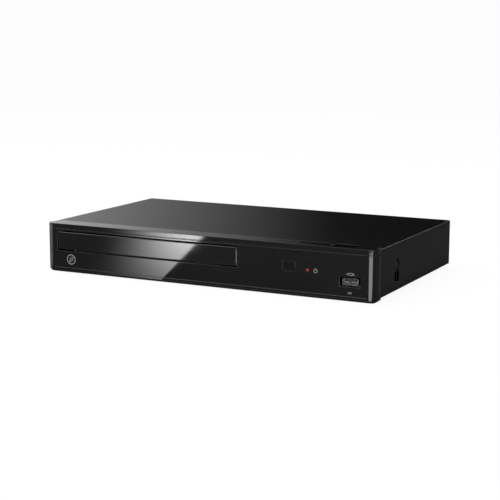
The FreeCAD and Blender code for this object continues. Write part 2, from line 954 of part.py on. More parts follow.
def make_top_cover():
    """Folded steel cover: top, two sides and a lip down the back."""
    body = new_body()
    section = sketch_on(body, "XZ_Plane", -cover_rear)
    inside = half - s.cover_sheet
    outline(
        section,
        [
            (-half, steel_low),
            (-half, cover_top),
            (half, cover_top),
            (half, steel_low),
            (inside, steel_low),
            (inside, cover_under),
            (-inside, cover_under),
            (-inside, steel_low),
        ],
    )
    pad(body, section, cover_rear - cover_side_front)

    notch = sketch_on(body, "XY_Plane", cover_top)
    reach = half - s.cover_flange
    rectangle(notch, -reach, cover_side_front - past, reach, cover_front)
    pocket(body, notch, s.cover_sheet + hair)

    lip = sketch_on(body, "XZ_Plane", -cover_rear)
    rectangle(lip, -half, cover_top - s.cover_lip, half, cover_top)
    pad(body, lip, s.cover_sheet)

    fixings = sketch_on(body, "XZ_Plane", -(cover_rear - s.cover_sheet))
    for x in rear_screw_sides():
        circle(fixings, x, rear_screw_z, s.screw_hole_radius)
    pocket(body, fixings, s.cover_sheet + hair)

    for side in (-1, 1):
        cup = sketch_on(body, "YZ_Plane", inside * side)
        circle(cup, side_fixing_y, side_fixing_z, s.dimple_radius + s.cover_sheet)
        pad(body, cup, s.dimple_depth, reverse=side > 0)
        dimple = sketch_on(body, "YZ_Plane", half * side)
        circle(dimple, side_fixing_y, side_fixing_z, s.dimple_radius)
        pocket(body, dimple, s.dimple_depth, reverse=side < 0)
        hole = sketch_on(body, "YZ_Plane", half * side)
        circle(hole, side_fixing_y, side_fixing_z, s.screw_hole_radius)
        pocket(body, hole, s.dimple_depth + s.cover_sheet + hair, reverse=side < 0)
        slot = sketch_on(body, "YZ_Plane", half * side)
        reach, rise = s.side_slot_width / 2, s.side_slot_height / 2
        rectangle(
            slot,
            side_fixing_y - reach,
            side_slot_z - rise,
            side_fixing_y + reach,
            side_slot_z + rise,
        )
        pocket(body, slot, s.cover_sheet + hair, reverse=side < 0)

    soften(
        body,
        "Fillet",
        lambda e: near(abs(e.CenterOfMass.x), half)
        and all(near(v.Z, cover_top) for v in e.Vertexes),
        s.cover_bend,
    )
    piece("top_cover", body)


def rear_screw_sides():
    """Where the back of the cover is screwed on, along X."""
    reach = half - s.rear_screw_inset
    return [-reach, as_size(0), reach]


def rear_foot_screws():
    """Where the back plate is screwed to the floor from below."""
    y = rear_inside - s.rear_foot / 2
    return [(-(half - s.rear_foot_inset), y), (as_size(0), y)]


def board_screws(left, right, near_y, far_y):
    """The four corners where a board is screwed to the floor."""
    inset = s.board_inset
    return [(x, y) for x in (left + inset, right - inset) for y in (near_y + inset, far_y - inset)]


def usb_board_edges():
    """Left, right, front and rear edges of the small board under the front socket."""
    left = usb_x - s.usb_width / 2 - s.usb_board_left
    right = flange_inside - s.usb_board_gap
    return left, right, panel_inside + s.fit_gap * 3, main_front - s.usb_board_rear_gap


def floor_screws():
    """All the places where a board is screwed to the floor."""
    left, right, near_y, far_y = usb_board_edges()
    places = board_screws(main_left, main_right, main_front, boards_rear)
    places += board_screws(power_left, power_right, power_front, boards_rear)
    places += [(left + s.board_inset, far_y - s.board_inset)]
    places += [(right - s.board_inset, far_y - s.board_inset)]
    return places


def drive_screws():
    """The four ears that hold the drive down."""
    side = drive_outside + s.drive_ear / 2
    ends = (drive_front + s.drive_ear_front, drive_rear - s.drive_ear)
    return [(drive_x + side * sign, y) for sign in (-1, 1) for y in ends]


def foot_places():
    """The four corners where the feet stand."""
    x = half - s.foot_inset_side
    y = back - s.foot_inset_end
    return [(x * a, y * b) for a in (-1, 1) for b in (-1, 1)]


def copies(length, step):
    """How many copies a step apart start within a length."""
    return int(as_size(length).value / as_size(step).value + hair) + 1


def make_bottom_chassis():
    """Steel floor with side flanges, screw bosses, vents and foot holes."""
    tongue = half - s.panel_corner
    solids = [
        box((-flange_outside, cover_front, steel_low), (flange_outside, rear_face, floor_top)),
        box(
            (-tongue, panel_inside + s.fit_gap, steel_low),
            (tongue, cover_front + s.floor_sheet, floor_top),
        ),
    ]
    for side in (-1, 1):
        low_x, high_x = in_order(flange_outside * side, flange_inside * side)
        flange_top = steel_low + s.flange_height
        solids.append(box((low_x, cover_front, steel_low), (high_x, rear_inside, flange_top)))
        solids.append(
            box(
                (low_x, side_fixing_y - s.side_tab, steel_low),
                (high_x, side_fixing_y + s.side_tab, side_fixing_z + s.side_tab_rise),
            )
        )
    for x, y in floor_screws():
        solids.append(cylinder((x, y, steel_low), s.boss_radius, board_low - steel_low))
    for x, y in drive_screws():
        solids.append(cylinder((x, y, steel_low), s.boss_radius, drive_low - steel_low))
    floor = fuse(*solids)

    thread = s.screw_radius + s.running_gap
    below = steel_low - past
    through = s.floor_sheet + 2 * past
    holes = []
    for x, y in floor_screws():
        holes.append(cylinder((x, y, floor_top), thread, s.board_lift + past))
    for x, y in drive_screws():
        holes.append(cylinder((x, y, below), thread, drive_low + past - below))
    for x, y in foot_places():
        holes.append(cylinder((x, y, below), s.foot_pin_radius + s.running_gap, through))
    for x, y in rear_foot_screws():
        holes.append(cylinder((x, y, below), s.screw_hole_radius, through))
    for side in (-1, 1):
        start, end = in_order((flange_outside + past) * side, (flange_inside - past) * side)
        reach, rise = s.side_slot_width / 2, s.side_slot_height / 2
        holes.append(cylinder((start, side_fixing_y, side_fixing_z), thread, end - start, "x"))
        holes.append(
            box(
                (start, side_fixing_y - reach, side_slot_z - rise),
                (end, side_fixing_y + reach, side_slot_z + rise),
            )
        )
    vent_x = main_left + s.floor_vent_side
    columns = copies(main_right - s.floor_vent_side - vent_x, s.floor_vent_step)
    for column in range(columns):
        for row in range(2):
            x = vent_x + s.floor_vent_step * column
            y = main_front + s.floor_vent_front + (s.floor_vent_length + s.floor_vent_gap) * row
            far = (x + s.floor_vent_width, y + s.floor_vent_length, floor_top + past)
            holes.append(box((x, y, below), far))
    piece("bottom_chassis", cut(floor, *holes))


def make_rear_panel():
    """Steel back plate with the socket cut-outs and its vents."""
    top = cover_under - s.fit_gap
    side = flange_inside - s.fit_gap
    foot_top = floor_top + s.rear_sheet
    plate = fuse(
        box((-side, rear_inside, floor_top), (side, rear_face, top)),
        box((-side, rear_inside - s.rear_foot, floor_top), (side, rear_face, foot_top)),
    )
    y = rear_inside - past
    beyond = rear_face + past
    thread = s.screw_radius + s.running_gap
    through = s.rear_sheet + 2 * past
    cuts = []
    for low, high in (inlet_case(), lan_case(), hdmi_case()):
        cuts.append(
            box(
                (low[0] - s.fit_gap, y, low[2] - s.fit_gap),
                (high[0] + s.fit_gap, beyond, high[2] + s.fit_gap),
            )
        )
    for x in rear_screw_sides():
        cuts.append(cylinder((x, y, rear_screw_z), thread, through, "y"))
    for x, foot_y in rear_foot_screws():
        cuts.append(cylinder((x, foot_y, floor_top - past), thread, through))
    for x, boss_y in floor_screws():
        boss = s.boss_radius + s.fit_gap
        cuts.append(cylinder((x, boss_y, floor_top - past), boss, through))
    vent_low = floor_top + s.rear_vent_lift
    for column in range(copies(s.rear_vent_span, s.rear_vent_step)):
        x = drive_x - s.rear_vent_span / 2 + s.rear_vent_step * column
        high = (x + s.rear_vent_width, beyond, vent_low + s.rear_vent_height)
        cuts.append(box((x, y, vent_low), high))
    piece("rear_panel", cut(plate, *cuts))


def make_feet():
    """Four rubber feet with a pin that plugs into the floor."""
    solids = []
    rim = s.foot_rim
    for x, y in foot_places():
        low = cone((x, y, as_size(0)), s.foot_radius - rim, s.foot_radius, rim)
        puck = cylinder((x, y, rim), s.foot_radius, steel_low - rim)
        pin = cylinder((x, y, steel_low), s.foot_pin_radius, s.floor_sheet + s.foot_pin_reach)
        solids.append(fuse(low, puck, pin))
    piece("feet", group(*solids))


# Door, tray and the gears that move it
def make_tray_door():
    """Gloss cover of the tray, flush with the front panel."""
    body = new_body()
    face = sketch_on(body, "XZ_Plane", -front)
    rectangle(face, door_left, door_low, door_right, door_high)
    pad(body, face, s.door_thickness, reverse=True)
    soften(
        body,
        "Chamfer",
        lambda e: all(near(v.Y, front) for v in e.Vertexes),
        s.door_gap / 2,
    )
    piece("tray_door", body)


def make_disc_tray():
    """Tray with its two disc beds, the slot for the pickup, two arms and the rack."""
    body = new_body()
    deck = sketch_on(body, "XY_Plane", tray_base)
    left, right = drive_x - tray_half, drive_x + tray_half
    arm = s.tray_arm_width
    outline(
        deck,
        [
            (left, tray_front),
            (right, tray_front),
            (right, arm_back),
            (right - arm, arm_back),
            (right - arm, tray_back),
            (left + arm, tray_back),
            (left + arm, arm_back),
            (left, arm_back),
        ],
    )
    pad(body, deck, s.tray_rim)

    bed = sketch_on(body, "XY_Plane", tray_top)
    circle(bed, drive_x, disc_y, s.disc_bed_radius)
    pocket(body, bed, s.disc_bed)
    small_bed = sketch_on(body, "XY_Plane", bed_z)
    circle(small_bed, drive_x, disc_y, s.small_disc_radius)
    pocket(body, small_bed, s.small_disc_bed)

    slot_half = s.tray_slot_width / 2
    nose = sketch_on(body, "XY_Plane", bed_z)
    circle(nose, drive_x, disc_y, slot_half)
    pocket(body, nose, bed_z - tray_base + hair)
    slot = sketch_on(body, "XY_Plane", tray_base)
    rectangle(slot, drive_x - slot_half, disc_y, drive_x + slot_half, tray_back + past)
    pocket(body, slot, s.tray_rim - s.tray_rear_bar_sheet, reverse=True)

    rack = sketch_on(body, "XY_Plane", rack_low)
    tip_line = rack_pitch_line - s.gear_module
    pitch = s.gear_module * math.pi
    teeth_ahead = 3
    mouth_y = gear_y - pitch * teeth_ahead
    rack_front = mouth_y - pitch / 2
    rack_rear = arm_back - s.rack_end
    rectangle(rack, drive_x + tip_line, rack_front, drive_x + rack_back_face, rack_rear)
    pad(body, rack, s.rack_height)
    gap = sketch_on(body, "XY_Plane", rack_low)
    slope = math.tan(PRESSURE_ANGLE)
    half_gap = pitch / 4 + s.gear_backlash / 2
    wide = half_gap + s.gear_module * slope
    narrow = half_gap - s.gear_module * ROOT_SHARE * slope
    over = s.gear_module / 2
    outline(
        gap,
        [
            (drive_x + tip_line - over, mouth_y - wide - over * slope),
            (drive_x + rack_root, mouth_y - narrow),
            (drive_x + rack_root, mouth_y + narrow),
            (drive_x + tip_line - over, mouth_y + wide + over * slope),
        ],
    )
    first_gap = pocket(body, gap, s.rack_height, reverse=True)
    row_of(body, first_gap, "Y_Axis", pitch, copies(rack_rear - mouth_y - pitch, pitch))
    piece("disc_tray", body)


def make_gears():
    """Tray gear, belt wheel, motor pulley and belt, each on its own post or shaft."""
    bore = s.gear_post_radius + s.running_gap
    sink = s.running_gap.value
    upper = gear(s.gear_module, s.gear_teeth, gear_low, gear_top - gear_low)
    wheel_top = wheel_low + s.wheel_height
    neck = Part.makeCylinder(
        s.gear_neck_radius.value,
        (gear_low - wheel_top).value + 2 * sink,
        vector(0, 0, wheel_top - sink),
    )
    lower = gear(s.wheel_module, s.wheel_teeth, wheel_low, s.wheel_height)
    hole = drill(bore, wheel_low, gear_top)
    tray_gear = from_code(upper.fuse([neck, lower]).cut(hole).removeSplitter())
    move_body(tray_gear, gear_x, gear_y, 0)
    piece("drive_gear", tray_gear)

    pinion = gear(s.wheel_module, s.pinion_teeth, wheel_low, s.wheel_height, turned=0.5)
    hub = Part.makeCylinder(
        s.pulley_hub_radius.value,
        (wheel_low - pulley_low).value + sink,
        vector(0, 0, pulley_low),
    )
    belt_wheel = pulley_shape(s.pulley_radius.value)
    hole = drill(bore, pulley_low, wheel_top)
    wheel = from_code(pinion.fuse([hub, belt_wheel]).cut(hole).removeSplitter())
    move_body(wheel, pulley_x, gear_y, 0)
    piece("pulley_gear", wheel)

    hole = drill(s.motor_shaft_radius + s.running_gap, pulley_low, wheel_top)
    small = from_code(pulley_shape(s.motor_pulley_radius.value).cut(hole))
    move_body(small, motor_x, gear_y, 0)
    piece("motor_pulley", small)

    piece("belt", from_code(belt_shape()))


def drill(radius, low, high):
    """Makes the bore of a wheel from below its low face to above its high face."""
    length = (high - low).value + 2 * past
    return Part.makeCylinder(radius.value, length, vector(0, 0, low - past))


def pulley_shape(belt_radius):
    """Makes a pulley whose groove carries the belt at the given radius."""
    rim = s.belt_side.value
    slack = s.running_gap.value
    height = s.wheel_height.value
    groove = rim + 2 * slack
    base = vector(0, 0, pulley_low)
    groove_base = base + FreeCAD.Vector(0, 0, (height - groove) / 2)
    whole = Part.makeCylinder(belt_radius + rim, height, base)
    outer = Part.makeCylinder(belt_radius + rim + past, groove, groove_base)
    core = Part.makeCylinder(belt_radius - slack, groove, groove_base)
    return whole.cut(outer.cut(core))


def belt_shape():
    """Makes the square belt that hugs both pulleys."""
    near_x, far_x = motor_x.value, pulley_x.value
    y = gear_y.value
    small, large = s.motor_pulley_radius.value, s.pulley_radius.value
    lean = math.acos((large - small) / (far_x - near_x))

    def loop(extra):
        a, b = small + extra, large + extra
        spots = []
        for sign in (1, -1):
            angle = math.pi - lean * sign
            shift = FreeCAD.Vector(math.cos(angle), math.sin(angle), 0)
            spots.append((shift * a, shift * b))
        p = FreeCAD.Vector(near_x, y, 0)
        q = FreeCAD.Vector(far_x, y, 0)
        up_a, up_b = p + spots[0][0], q + spots[0][1]
        down_a, down_b = p + spots[1][0], q + spots[1][1]
        return Part.Wire(
            [
                Part.Arc(down_a, p - FreeCAD.Vector(a, 0, 0), up_a).toShape(),
                Part.LineSegment(up_a, up_b).toShape(),
                Part.Arc(up_b, q + FreeCAD.Vector(b, 0, 0), down_b).toShape(),
                Part.LineSegment(down_b, down_a).toShape(),
            ]
        )

    side = s.belt_side.value
    low = pulley_low.value + (s.wheel_height.value - side) / 2
    up = FreeCAD.Vector(0, 0, side)
    band = Part.Face(loop(side)).extrude(up).cut(Part.Face(loop(0)).extrude(up))
    band.translate(FreeCAD.Vector(0, 0, low))
    return band


def make_loading_motor():
    """Small motor that drives the tray, with its shaft."""
    can_low = drive_floor_top
    shaft_top = pulley_low + s.wheel_height + s.fit_gap * 2
    centre = (motor_x, gear_y, can_low)
    collar_top = pulley_low - s.fit_gap * 2
    motor = fuse(
        cylinder(centre, s.motor_radius, motor_top - can_low),
        cylinder((motor_x, gear_y, motor_top), s.motor_collar_radius, collar_top - motor_top),
        cylinder(centre, s.motor_shaft_radius, shaft_top - can_low),
    )
    piece("loading_motor", motor)


def make_cam_slider():
    """Slide whose sloped slot lifts the front of the traverse."""
    rise = s.lift_drop.value
    reach = s.follower_radius.value + s.cam_slack.value
    low = FreeCAD.Vector(drive_x.value, cam_y.value, pivot_z.value - rise)
    high = low + FreeCAD.Vector(s.cam_travel.value, 0, rise)
    along = (high - low).normalize()
    across = FreeCAD.Vector(-along.z, 0, along.x) * reach
    slot = Part.Wire(
        [
            Part.LineSegment(low + across, high + across).toShape(),
            Part.Arc(high + across, high + along * reach, high - across).toShape(),
            Part.LineSegment(high - across, low - across).toShape(),
            Part.Arc(low - across, low - along * reach, low + across).toShape(),
        ]
    )
    thick = s.cam_thickness.value
    foot_z = (drive_floor_top + s.fit_gap).value
    length = s.cam_travel.value + 2 * s.cam_margin.value
    height = high.z + reach + s.cam_top_margin.value - foot_z
    corner = FreeCAD.Vector(low.x - s.cam_margin.value, cam_y.value, foot_z)
    plate = Part.makeBox(length, thick, height, corner)
    opening = Part.Face(slot).extrude(FreeCAD.Vector(0, thick, 0))
    piece("cam_slider", from_code(plate.cut(opening)))


def make_drive_chassis():
    """Moulded frame of the drive: walls, rails, floor, gear posts and pivots."""
    left, right = drive_x - drive_outside, drive_x + drive_outside
    wall = s.drive_wall
    front_top = drive_low + s.drive_front_height
    front_inside = drive_front + s.drive_front_sheet
    solids = [
        box((left, drive_front, drive_low), (left + wall, drive_rear, drive_top)),
        box((right - wall, drive_front, drive_low), (right, drive_rear, drive_top)),
        box((left, drive_front, drive_low), (right, front_inside, front_top)),
        box((left, drive_rear - wall, drive_low), (right, drive_rear, drive_top)),
        box((left, drive_front, drive_low), (right, lift_y - s.lift_front_gap, drive_floor_top)),
        box((left, lift_rear + s.lift_gap, drive_low), (right, drive_rear, drive_floor_top)),
    ]
    for sign in (-1, 1):
        solids += drive_side(sign)
    ear = s.drive_ear / 2
    for x, y in drive_screws():
        solids.append(box((x - ear, y - ear, drive_low), (x + ear, y + ear, drive_floor_top)))
    post = s.gear_post_radius
    wheel_top = wheel_low + s.wheel_height
    for x, low, high in ((gear_x, wheel_low, gear_top), (pulley_x, pulley_low, wheel_top)):
        shoulder = low - s.running_gap * 2
        base = (x, gear_y, drive_low)
        solids.append(cylinder(base, post, high - drive_low))
        solids.append(cylinder(base, post + s.post_shoulder, shoulder - drive_low))
    reach = s.cam_travel + s.cam_rail_margin
    rail = s.cam_rail_width
    for y in (cam_y - s.fit_gap - rail, cam_y + s.cam_thickness + s.fit_gap):
        high = (drive_x + reach, y + rail, drive_floor_top + s.cam_rail_height)
        solids.append(box((drive_x - reach, y, drive_low), high))
    frame = fuse(*solids)

    below = drive_low - past
    through = s.drive_floor + 2 * past
    cuts = [cylinder((x, y, below), s.screw_hole_radius, through) for x, y in drive_screws()]
    for x, y in foot_places():
        cuts.append(cylinder((x, y, below), s.foot_pin_radius + s.fit_gap, through))
    pivot = s.pivot_radius + s.running_gap
    between = drive_inside - past
    start = (drive_x - between, pivot_y, pivot_z)
    cuts.append(cylinder(start, pivot, between * 2, "x"))
    window_front = main_front + s.drive_ribbon_front - s.fit_gap * 6
    window_rear = main_front + s.drive_ribbon_front + s.drive_ribbon_width + s.fit_gap * 6
    cuts.append(
        box(
            (right - wall - past, window_front, drive_floor_top),
            (right + past, window_rear, drive_floor_top + s.damper_height),
        )
    )
    piece("drive_chassis", cut(frame, *cuts))


def drive_side(sign):
    """Floor, rail, two guides and the pivot block on one side of the drive."""
    solids = []
    low_x, high_x = in_order((lift_half + s.lift_gap) * sign, drive_inside * sign)
    low = (drive_x + low_x, drive_front, drive_low)
    solids.append(box(low, (drive_x + high_x, drive_rear, drive_floor_top)))

    low_x, high_x = in_order((tray_half - s.rail_reach) * sign, drive_inside * sign)
    rail_top = tray_base - s.fit_gap
    low = (drive_x + low_x, drive_front + s.rack_end, rail_top - s.rail_sheet)
    solids.append(box(low, (drive_x + high_x, drive_rear - s.drive_wall, rail_top)))

    low_x, high_x = in_order((tray_half - s.guide_reach) * sign, drive_inside * sign)
    guide_low = tray_top + s.fit_gap
    for y in (disc_y - s.guide_spacing, disc_y + s.guide_spacing):
        high = (drive_x + high_x, y + s.guide_length, guide_low + s.guide_sheet)
        solids.append(box((drive_x + low_x, y, guide_low), high))

    block = lift_half + s.lift_gap
    low_x, high_x = in_order(block * sign, (block + s.pivot_block) * sign)
    reach = s.pivot_block_reach
    high = (drive_x + high_x, pivot_y + reach, pivot_z + s.pivot_block_rise)
    solids.append(box((drive_x + low_x, pivot_y - reach, drive_low), high))
    return solids


def make_clamp():
    """Steel bridge over the disc and the puck that hangs in it."""
    outer = drive_outside + s.fit_gap
    sheet_out = outer + s.bridge_sheet
    y0 = disc_y - s.bridge_width / 2
    y1 = disc_y + s.bridge_width / 2
    bridge = box((drive_x - sheet_out, y0, drive_top), (drive_x + sheet_out, y1, bridge_top))
    tab_low = drive_top - s.bridge_tab
    inset = s.bridge_tab_inset
    tabs = []
    for low, high in ((-sheet_out, -outer), (outer, sheet_out)):
        tabs.append(
            box((drive_x + low, y0 + inset, tab_low), (drive_x + high, y1 - inset, bridge_top))
        )
    hole_low = (drive_x, disc_y, drive_top - past)
    hole = cylinder(hole_low, s.clamp_neck_radius + s.clamp_gap, s.bridge_sheet + 2 * past)
    piece("clamp_bridge", cut(fuse(bridge, *tabs), hole))

    body = new_body()
    recess = s.hub_radius - s.disc_sheet
    recess_top = clamp_low + s.clamp_recess
    disc_top = clamp_low + s.clamp_sheet
    cap_low = bridge_top + s.fit_gap
    cap_top = cap_low + s.clamp_cap_sheet
    cap = s.clamp_radius - s.clamp_cap_step
    revolve(
        body,
        [
            (recess, clamp_low),
            (s.clamp_radius, clamp_low),
            (s.clamp_radius, disc_top),
            (s.clamp_neck_radius, disc_top),
            (s.clamp_neck_radius, cap_low),
            (cap, cap_low),
            (cap, cap_top),
            (0, cap_top),
            (0, recess_top),
            (recess, recess_top),
        ],
    )
    move_body(body, drive_x, disc_y, 0)
    piece("clamp_puck", body)


# Lifting traverse, drawn level as it stands in play and then lowered about its pivot
def make_lift_frame():
    """Moulded frame that swings the pickup unit up to the disc."""
    side, rail = lift_half, s.lift_rail
    low, high = lift_low, lift_low + s.lift_height
    ring = cut(
        box((drive_x - side, lift_y, low), (drive_x + side, lift_rear, high)),
        box(
            (drive_x - side + rail, lift_y + rail, low - past),
            (drive_x + side - rail, lift_rear - rail, high + past),
        ),
    )
    solids = [ring]
    ear_top = low + s.lift_ear_sheet
    pin_length = s.lift_gap + s.lift_rail
    for sign in (-1, 1):
        low_x, high_x = in_order((side - rail - s.lift_ear_width) * sign, (side - past) * sign)
        for y0 in (lift_y + past, lift_rear - past - s.lift_ear_length - past):
            far = (drive_x + high_x, y0 + s.lift_ear_length, ear_top)
            solids.append(box((drive_x + low_x, y0, low), far))
        pin_start, pin_end = in_order((side - past) * sign, (side + pin_length) * sign)
        base = (drive_x + pin_start, pivot_y, pivot_z)
        solids.append(cylinder(base, s.pivot_radius, pin_end - pin_start, "x"))
    base = (drive_x, lift_y - s.follower_reach, pivot_z)
    solids.append(cylinder(base, s.follower_radius, s.follower_reach + past, "y"))
    holes = []
    for x, y in damper_places():
        holes.append(cylinder((x, y, low - past), s.screw_hole_radius, s.lift_ear_sheet + 2 * past))
    piece("lift_frame", cut(fuse(*solids), *holes), tilted=True)


def damper_places():
    """The four corners where the traverse plate sits on rubber."""
    return [(drive_x + damper_x * sign, y) for sign in (-1, 1) for y in (damper_front, damper_rear)]


def make_dampers():
    """Four rubber rings between the lifting frame and the traverse plate."""
    rings = []
    low = lift_low + s.lift_ear_sheet
    for x, y in damper_places():
        ring = cylinder((x, y, low), s.damper_radius, s.damper_height)
        hole = cylinder((x, y, low - past), s.screw_hole_radius, s.damper_height + 2 * past)
        rings.append(cut(ring, hole))
    piece("dampers", group(*rings), tilted=True)


def make_traverse_plate():
    """Steel plate that carries the spindle motor, the rods and the feed screw."""
    border = s.plate_border
    ear = damper_x + s.plate_ear_border
    waist = rod_x + s.plate_waist
    low, high = plate_low, plate_top
    solids = [
        box((drive_x - waist, plate_front, low), (drive_x + waist, plate_rear, high)),
        box((drive_x - ear, plate_front, low), (drive_x + ear, damper_front + border, high)),
        box((drive_x - ear, damper_rear - border, low), (drive_x + ear, plate_rear, high)),
    ]
    clip = s.rod_clip_width / 2
    for x in (drive_x - rod_x, drive_x + rod_x):
        for y in (rod_front, rod_rear - s.rod_clip_sheet):
            far = (x + clip, y + s.rod_clip_sheet, rod_clip_top)
            solids.append(box((x - clip, y, low), far))
    bearing = s.feed_bearing / 2
    bearing_x = drive_x + feed_x
    solids.append(
        box(
            (bearing_x - bearing, feed_bearing_y - s.plate_sheet, feed_z - bearing),
            (bearing_x + bearing, feed_bearing_y, feed_z + bearing),
        )
    )
    plate = fuse(*solids)

    window = s.plate_window_width / 2
    window_front = disc_y + s.plate_window_front
    window_rear = damper_rear - s.plate_window_rear
    journal = s.feed_screw_radius + s.running_gap
    bearing_start = feed_bearing_y - s.plate_sheet - past
    cuts = [
        box((drive_x - window, window_front, low - past), (drive_x + window, window_rear, high + past)),
        cylinder((bearing_x, bearing_start, feed_z), journal, s.plate_sheet + 2 * past, "y"),
    ]
    for x, y in damper_places():
        cuts.append(cylinder((x, y, low - past), s.screw_hole_radius, s.plate_sheet + 2 * past))
    seat = s.rod_radius + s.running_gap / 2
    for x in (drive_x - rod_x, drive_x + rod_x):
        start = (x, rod_front - past, rod_z)
        cuts.append(cylinder(start, seat, rod_rear - rod_front + 2 * past, "y"))
    piece("traverse_plate", cut(plate, *cuts), tilted=True)


def make_rods():
    """Two steel rods that the pickup slides on."""
    rods = []
    for x in (drive_x - rod_x, drive_x + rod_x):
        rods.append(cylinder((x, rod_front, rod_z), s.rod_radius, rod_rear - rod_front, "y"))
    piece("guide_rods", group(*rods), tilted=True)


def make_spindle():
    """Motor base on the plate and the turntable that carries the disc."""
    centre = (drive_x, disc_y, plate_top)
    base = fuse(
        cylinder(centre, s.stator_radius, s.stator_height),
        cylinder(centre, s.spindle_radius, s.spindle_height),
    )
    piece("spindle_motor", base, tilted=True)

    bell_low = plate_top + s.stator_height + s.fit_gap
    post = s.spindle_radius + s.running_gap * 2
    post_top = plate_top + s.spindle_height + s.fit_gap
    face = turntable_top
    flange_low = face - s.turntable_flange
    hub_top = face + s.hub_height
    profile = [
        (post, bell_low),
        (s.bell_radius, bell_low),
        (s.bell_radius, flange_low),
        (s.turntable_radius, flange_low),
        (s.turntable_radius, face),
        (s.hub_radius, face),
        (s.hub_radius - s.hub_taper, hub_top),
        (0, hub_top),
        (0, post_top),
        (post, post_top),
    ]
    spots = [vector(drive_x + r, disc_y, z) for r, z in profile + profile[:1]]
    up = FreeCAD.Vector(0, 0, 1)
    shape = Part.Face(Part.makePolygon(spots)).revolve(vector(drive_x, disc_y, 0), up, 360)
    piece("turntable", from_code(shape), tilted=True)


def make_pickup():
    """Optical pickup on its rods, with the nut arm that the screw drives."""
    lens_y = disc_y + s.lens_offset
    y0, y1 = lens_y - s.pickup_front, lens_y + s.pickup_rear
    low = plate_top + s.pickup_lift
    high = low + s.pickup_height
    shelf = rod_clip_top
    body_half = s.tray_slot_width / 2 - s.pickup_side_gap
    solids = [box((drive_x - body_half, y0, low), (drive_x + body_half, y1, high))]
    reach = rod_x + s.pickup_ear
    inset = s.pickup_ear_inset
    for sign in (-1, 1):
        low_x, high_x = in_order((body_half - past) * sign, reach * sign)
        far = (drive_x + high_x, y1 - inset, shelf)
        solids.append(box((drive_x + low_x, y0 + inset, low), far))
    nut_low = feed_z + s.feed_screw_radius + s.running_gap * 3
    nut_y = lens_y + s.nut_front
    far = (drive_x + feed_x + s.nut_reach, nut_y + s.nut_length, shelf)
    solids.append(box((drive_x + reach - past, nut_y, nut_low), far))

    holder_half = s.holder_width / 2
    pocket_half = holder_half + s.holder_side_gap
    pocket_front = y0 + s.holder_end_gap
    holder_low = high - s.holder_sink
    pocket_low = holder_low - s.holder_end_gap
    holder_rear = lens_y + s.holder_rear
    pocket_rear = holder_rear + s.holder_end_gap
    far = (drive_x + pocket_half, pocket_rear, high + past)
    cuts = [box((drive_x - pocket_half, pocket_front, pocket_low), far)]
    bearing = s.rod_radius + s.running_gap
    for x in (drive_x - rod_x, drive_x + rod_x):
        cuts.append(cylinder((x, y0 - past, rod_z), bearing, y1 - y0 + 2 * past, "y"))
    piece("pickup", cut(fuse(*solids), *cuts), tilted=True)

    holder_top = holder_low + s.holder_height
    holder = box(
        (drive_x - holder_half, pocket_front + s.holder_end_gap, holder_low),
        (drive_x + holder_half, holder_rear, holder_top),
    )
    piece("lens_holder", group(holder), tilted=True)
    rim_height, dome_height, dome_step = 0.3, 0.5, 0.9
    dome_low = holder_top + rim_height
    dome = fuse(
        cylinder((drive_x, lens_y, holder_top), s.lens_radius, rim_height),
        cone((drive_x, lens_y, dome_low), s.lens_radius, s.lens_radius - dome_step, dome_height),
    )
    piece("objective_lens", dome, tilted=True)


def make_feed():
    """Feed motor and the lead screw that moves the pickup."""
    x = drive_x + feed_x
    y = rod_front + s.rod_clip_sheet
    flange = s.feed_flange / 2
    rear = y + s.feed_flange_sheet
    top = feed_z + flange
    foot = x - s.feed_foot_reach
    can_front = (x, y - s.feed_motor_length, feed_z)
    journal = s.feed_screw_radius + s.running_gap
    motor = fuse(
        cylinder(can_front, s.feed_motor_radius, s.feed_motor_length, "y"),
        box((x - flange, y, feed_z - flange), (x + flange, rear, top)),
        box((foot, y, plate_top), (foot + s.feed_foot_width, rear, top)),
    )
    hole = cylinder((x, y - past, feed_z), journal, s.feed_flange_sheet + 2 * past, "y")
    piece("feed_motor", cut(motor, hole), tilted=True)

    start = y + s.running_gap
    end = feed_bearing_y - s.running_gap
    radius = s.feed_screw_radius
    journal_length = s.feed_journal
    rings = [
        cylinder((x, start, feed_z), radius - s.feed_thread_depth, end - start, "y"),
        cylinder((x, start, feed_z), radius, journal_length, "y"),
        cylinder((x, end - journal_length, feed_z), radius, journal_length, "y"),
    ]
    ridge = s.feed_thread_step / 2
    first = start + journal_length + ridge
    turns = copies(end - journal_length - ridge * 2 - first, s.feed_thread_step)
    for turn in range(turns):
        rings.append(cylinder((x, first + s.feed_thread_step * turn, feed_z), radius, ridge, "y"))
    piece("lead_screw", fuse(*rings), tilted=True)


# Buttons and front board
def make_button(name, left, width):
    """Push button with a hidden flange and the stem that presses its switch."""
    right = left + width
    border = s.button_flange
    cap_top = panel_top - s.button_drop
    flange_low = wall_under - s.running_gap * 2 - s.button_flange
    body = new_body()
    flange = sketch_on(body, "XY_Plane", flange_low)
    flange_rear = button_rear + border - s.running_gap * 2
    rectangle(flange, left - border, button_front - border, right + border, flange_rear)
    pad(body, flange, s.button_flange)
    cap = sketch_on(body, "XY_Plane", flange_low)
    rectangle(cap, left, button_front, right, button_rear)
    pad(body, cap, cap_top - flange_low)
    stem = sketch_on(body, "XY_Plane", flange_low)
    circle(stem, left + width / 2, switch_y, s.button_stem_radius)
    pad(body, stem, flange_low - plunger_top, reverse=True)
    soften(body, "Fillet", lambda e: all(near(v.Z, cap_top) for v in e.Vertexes), s.button_edge)
    piece(name, body)


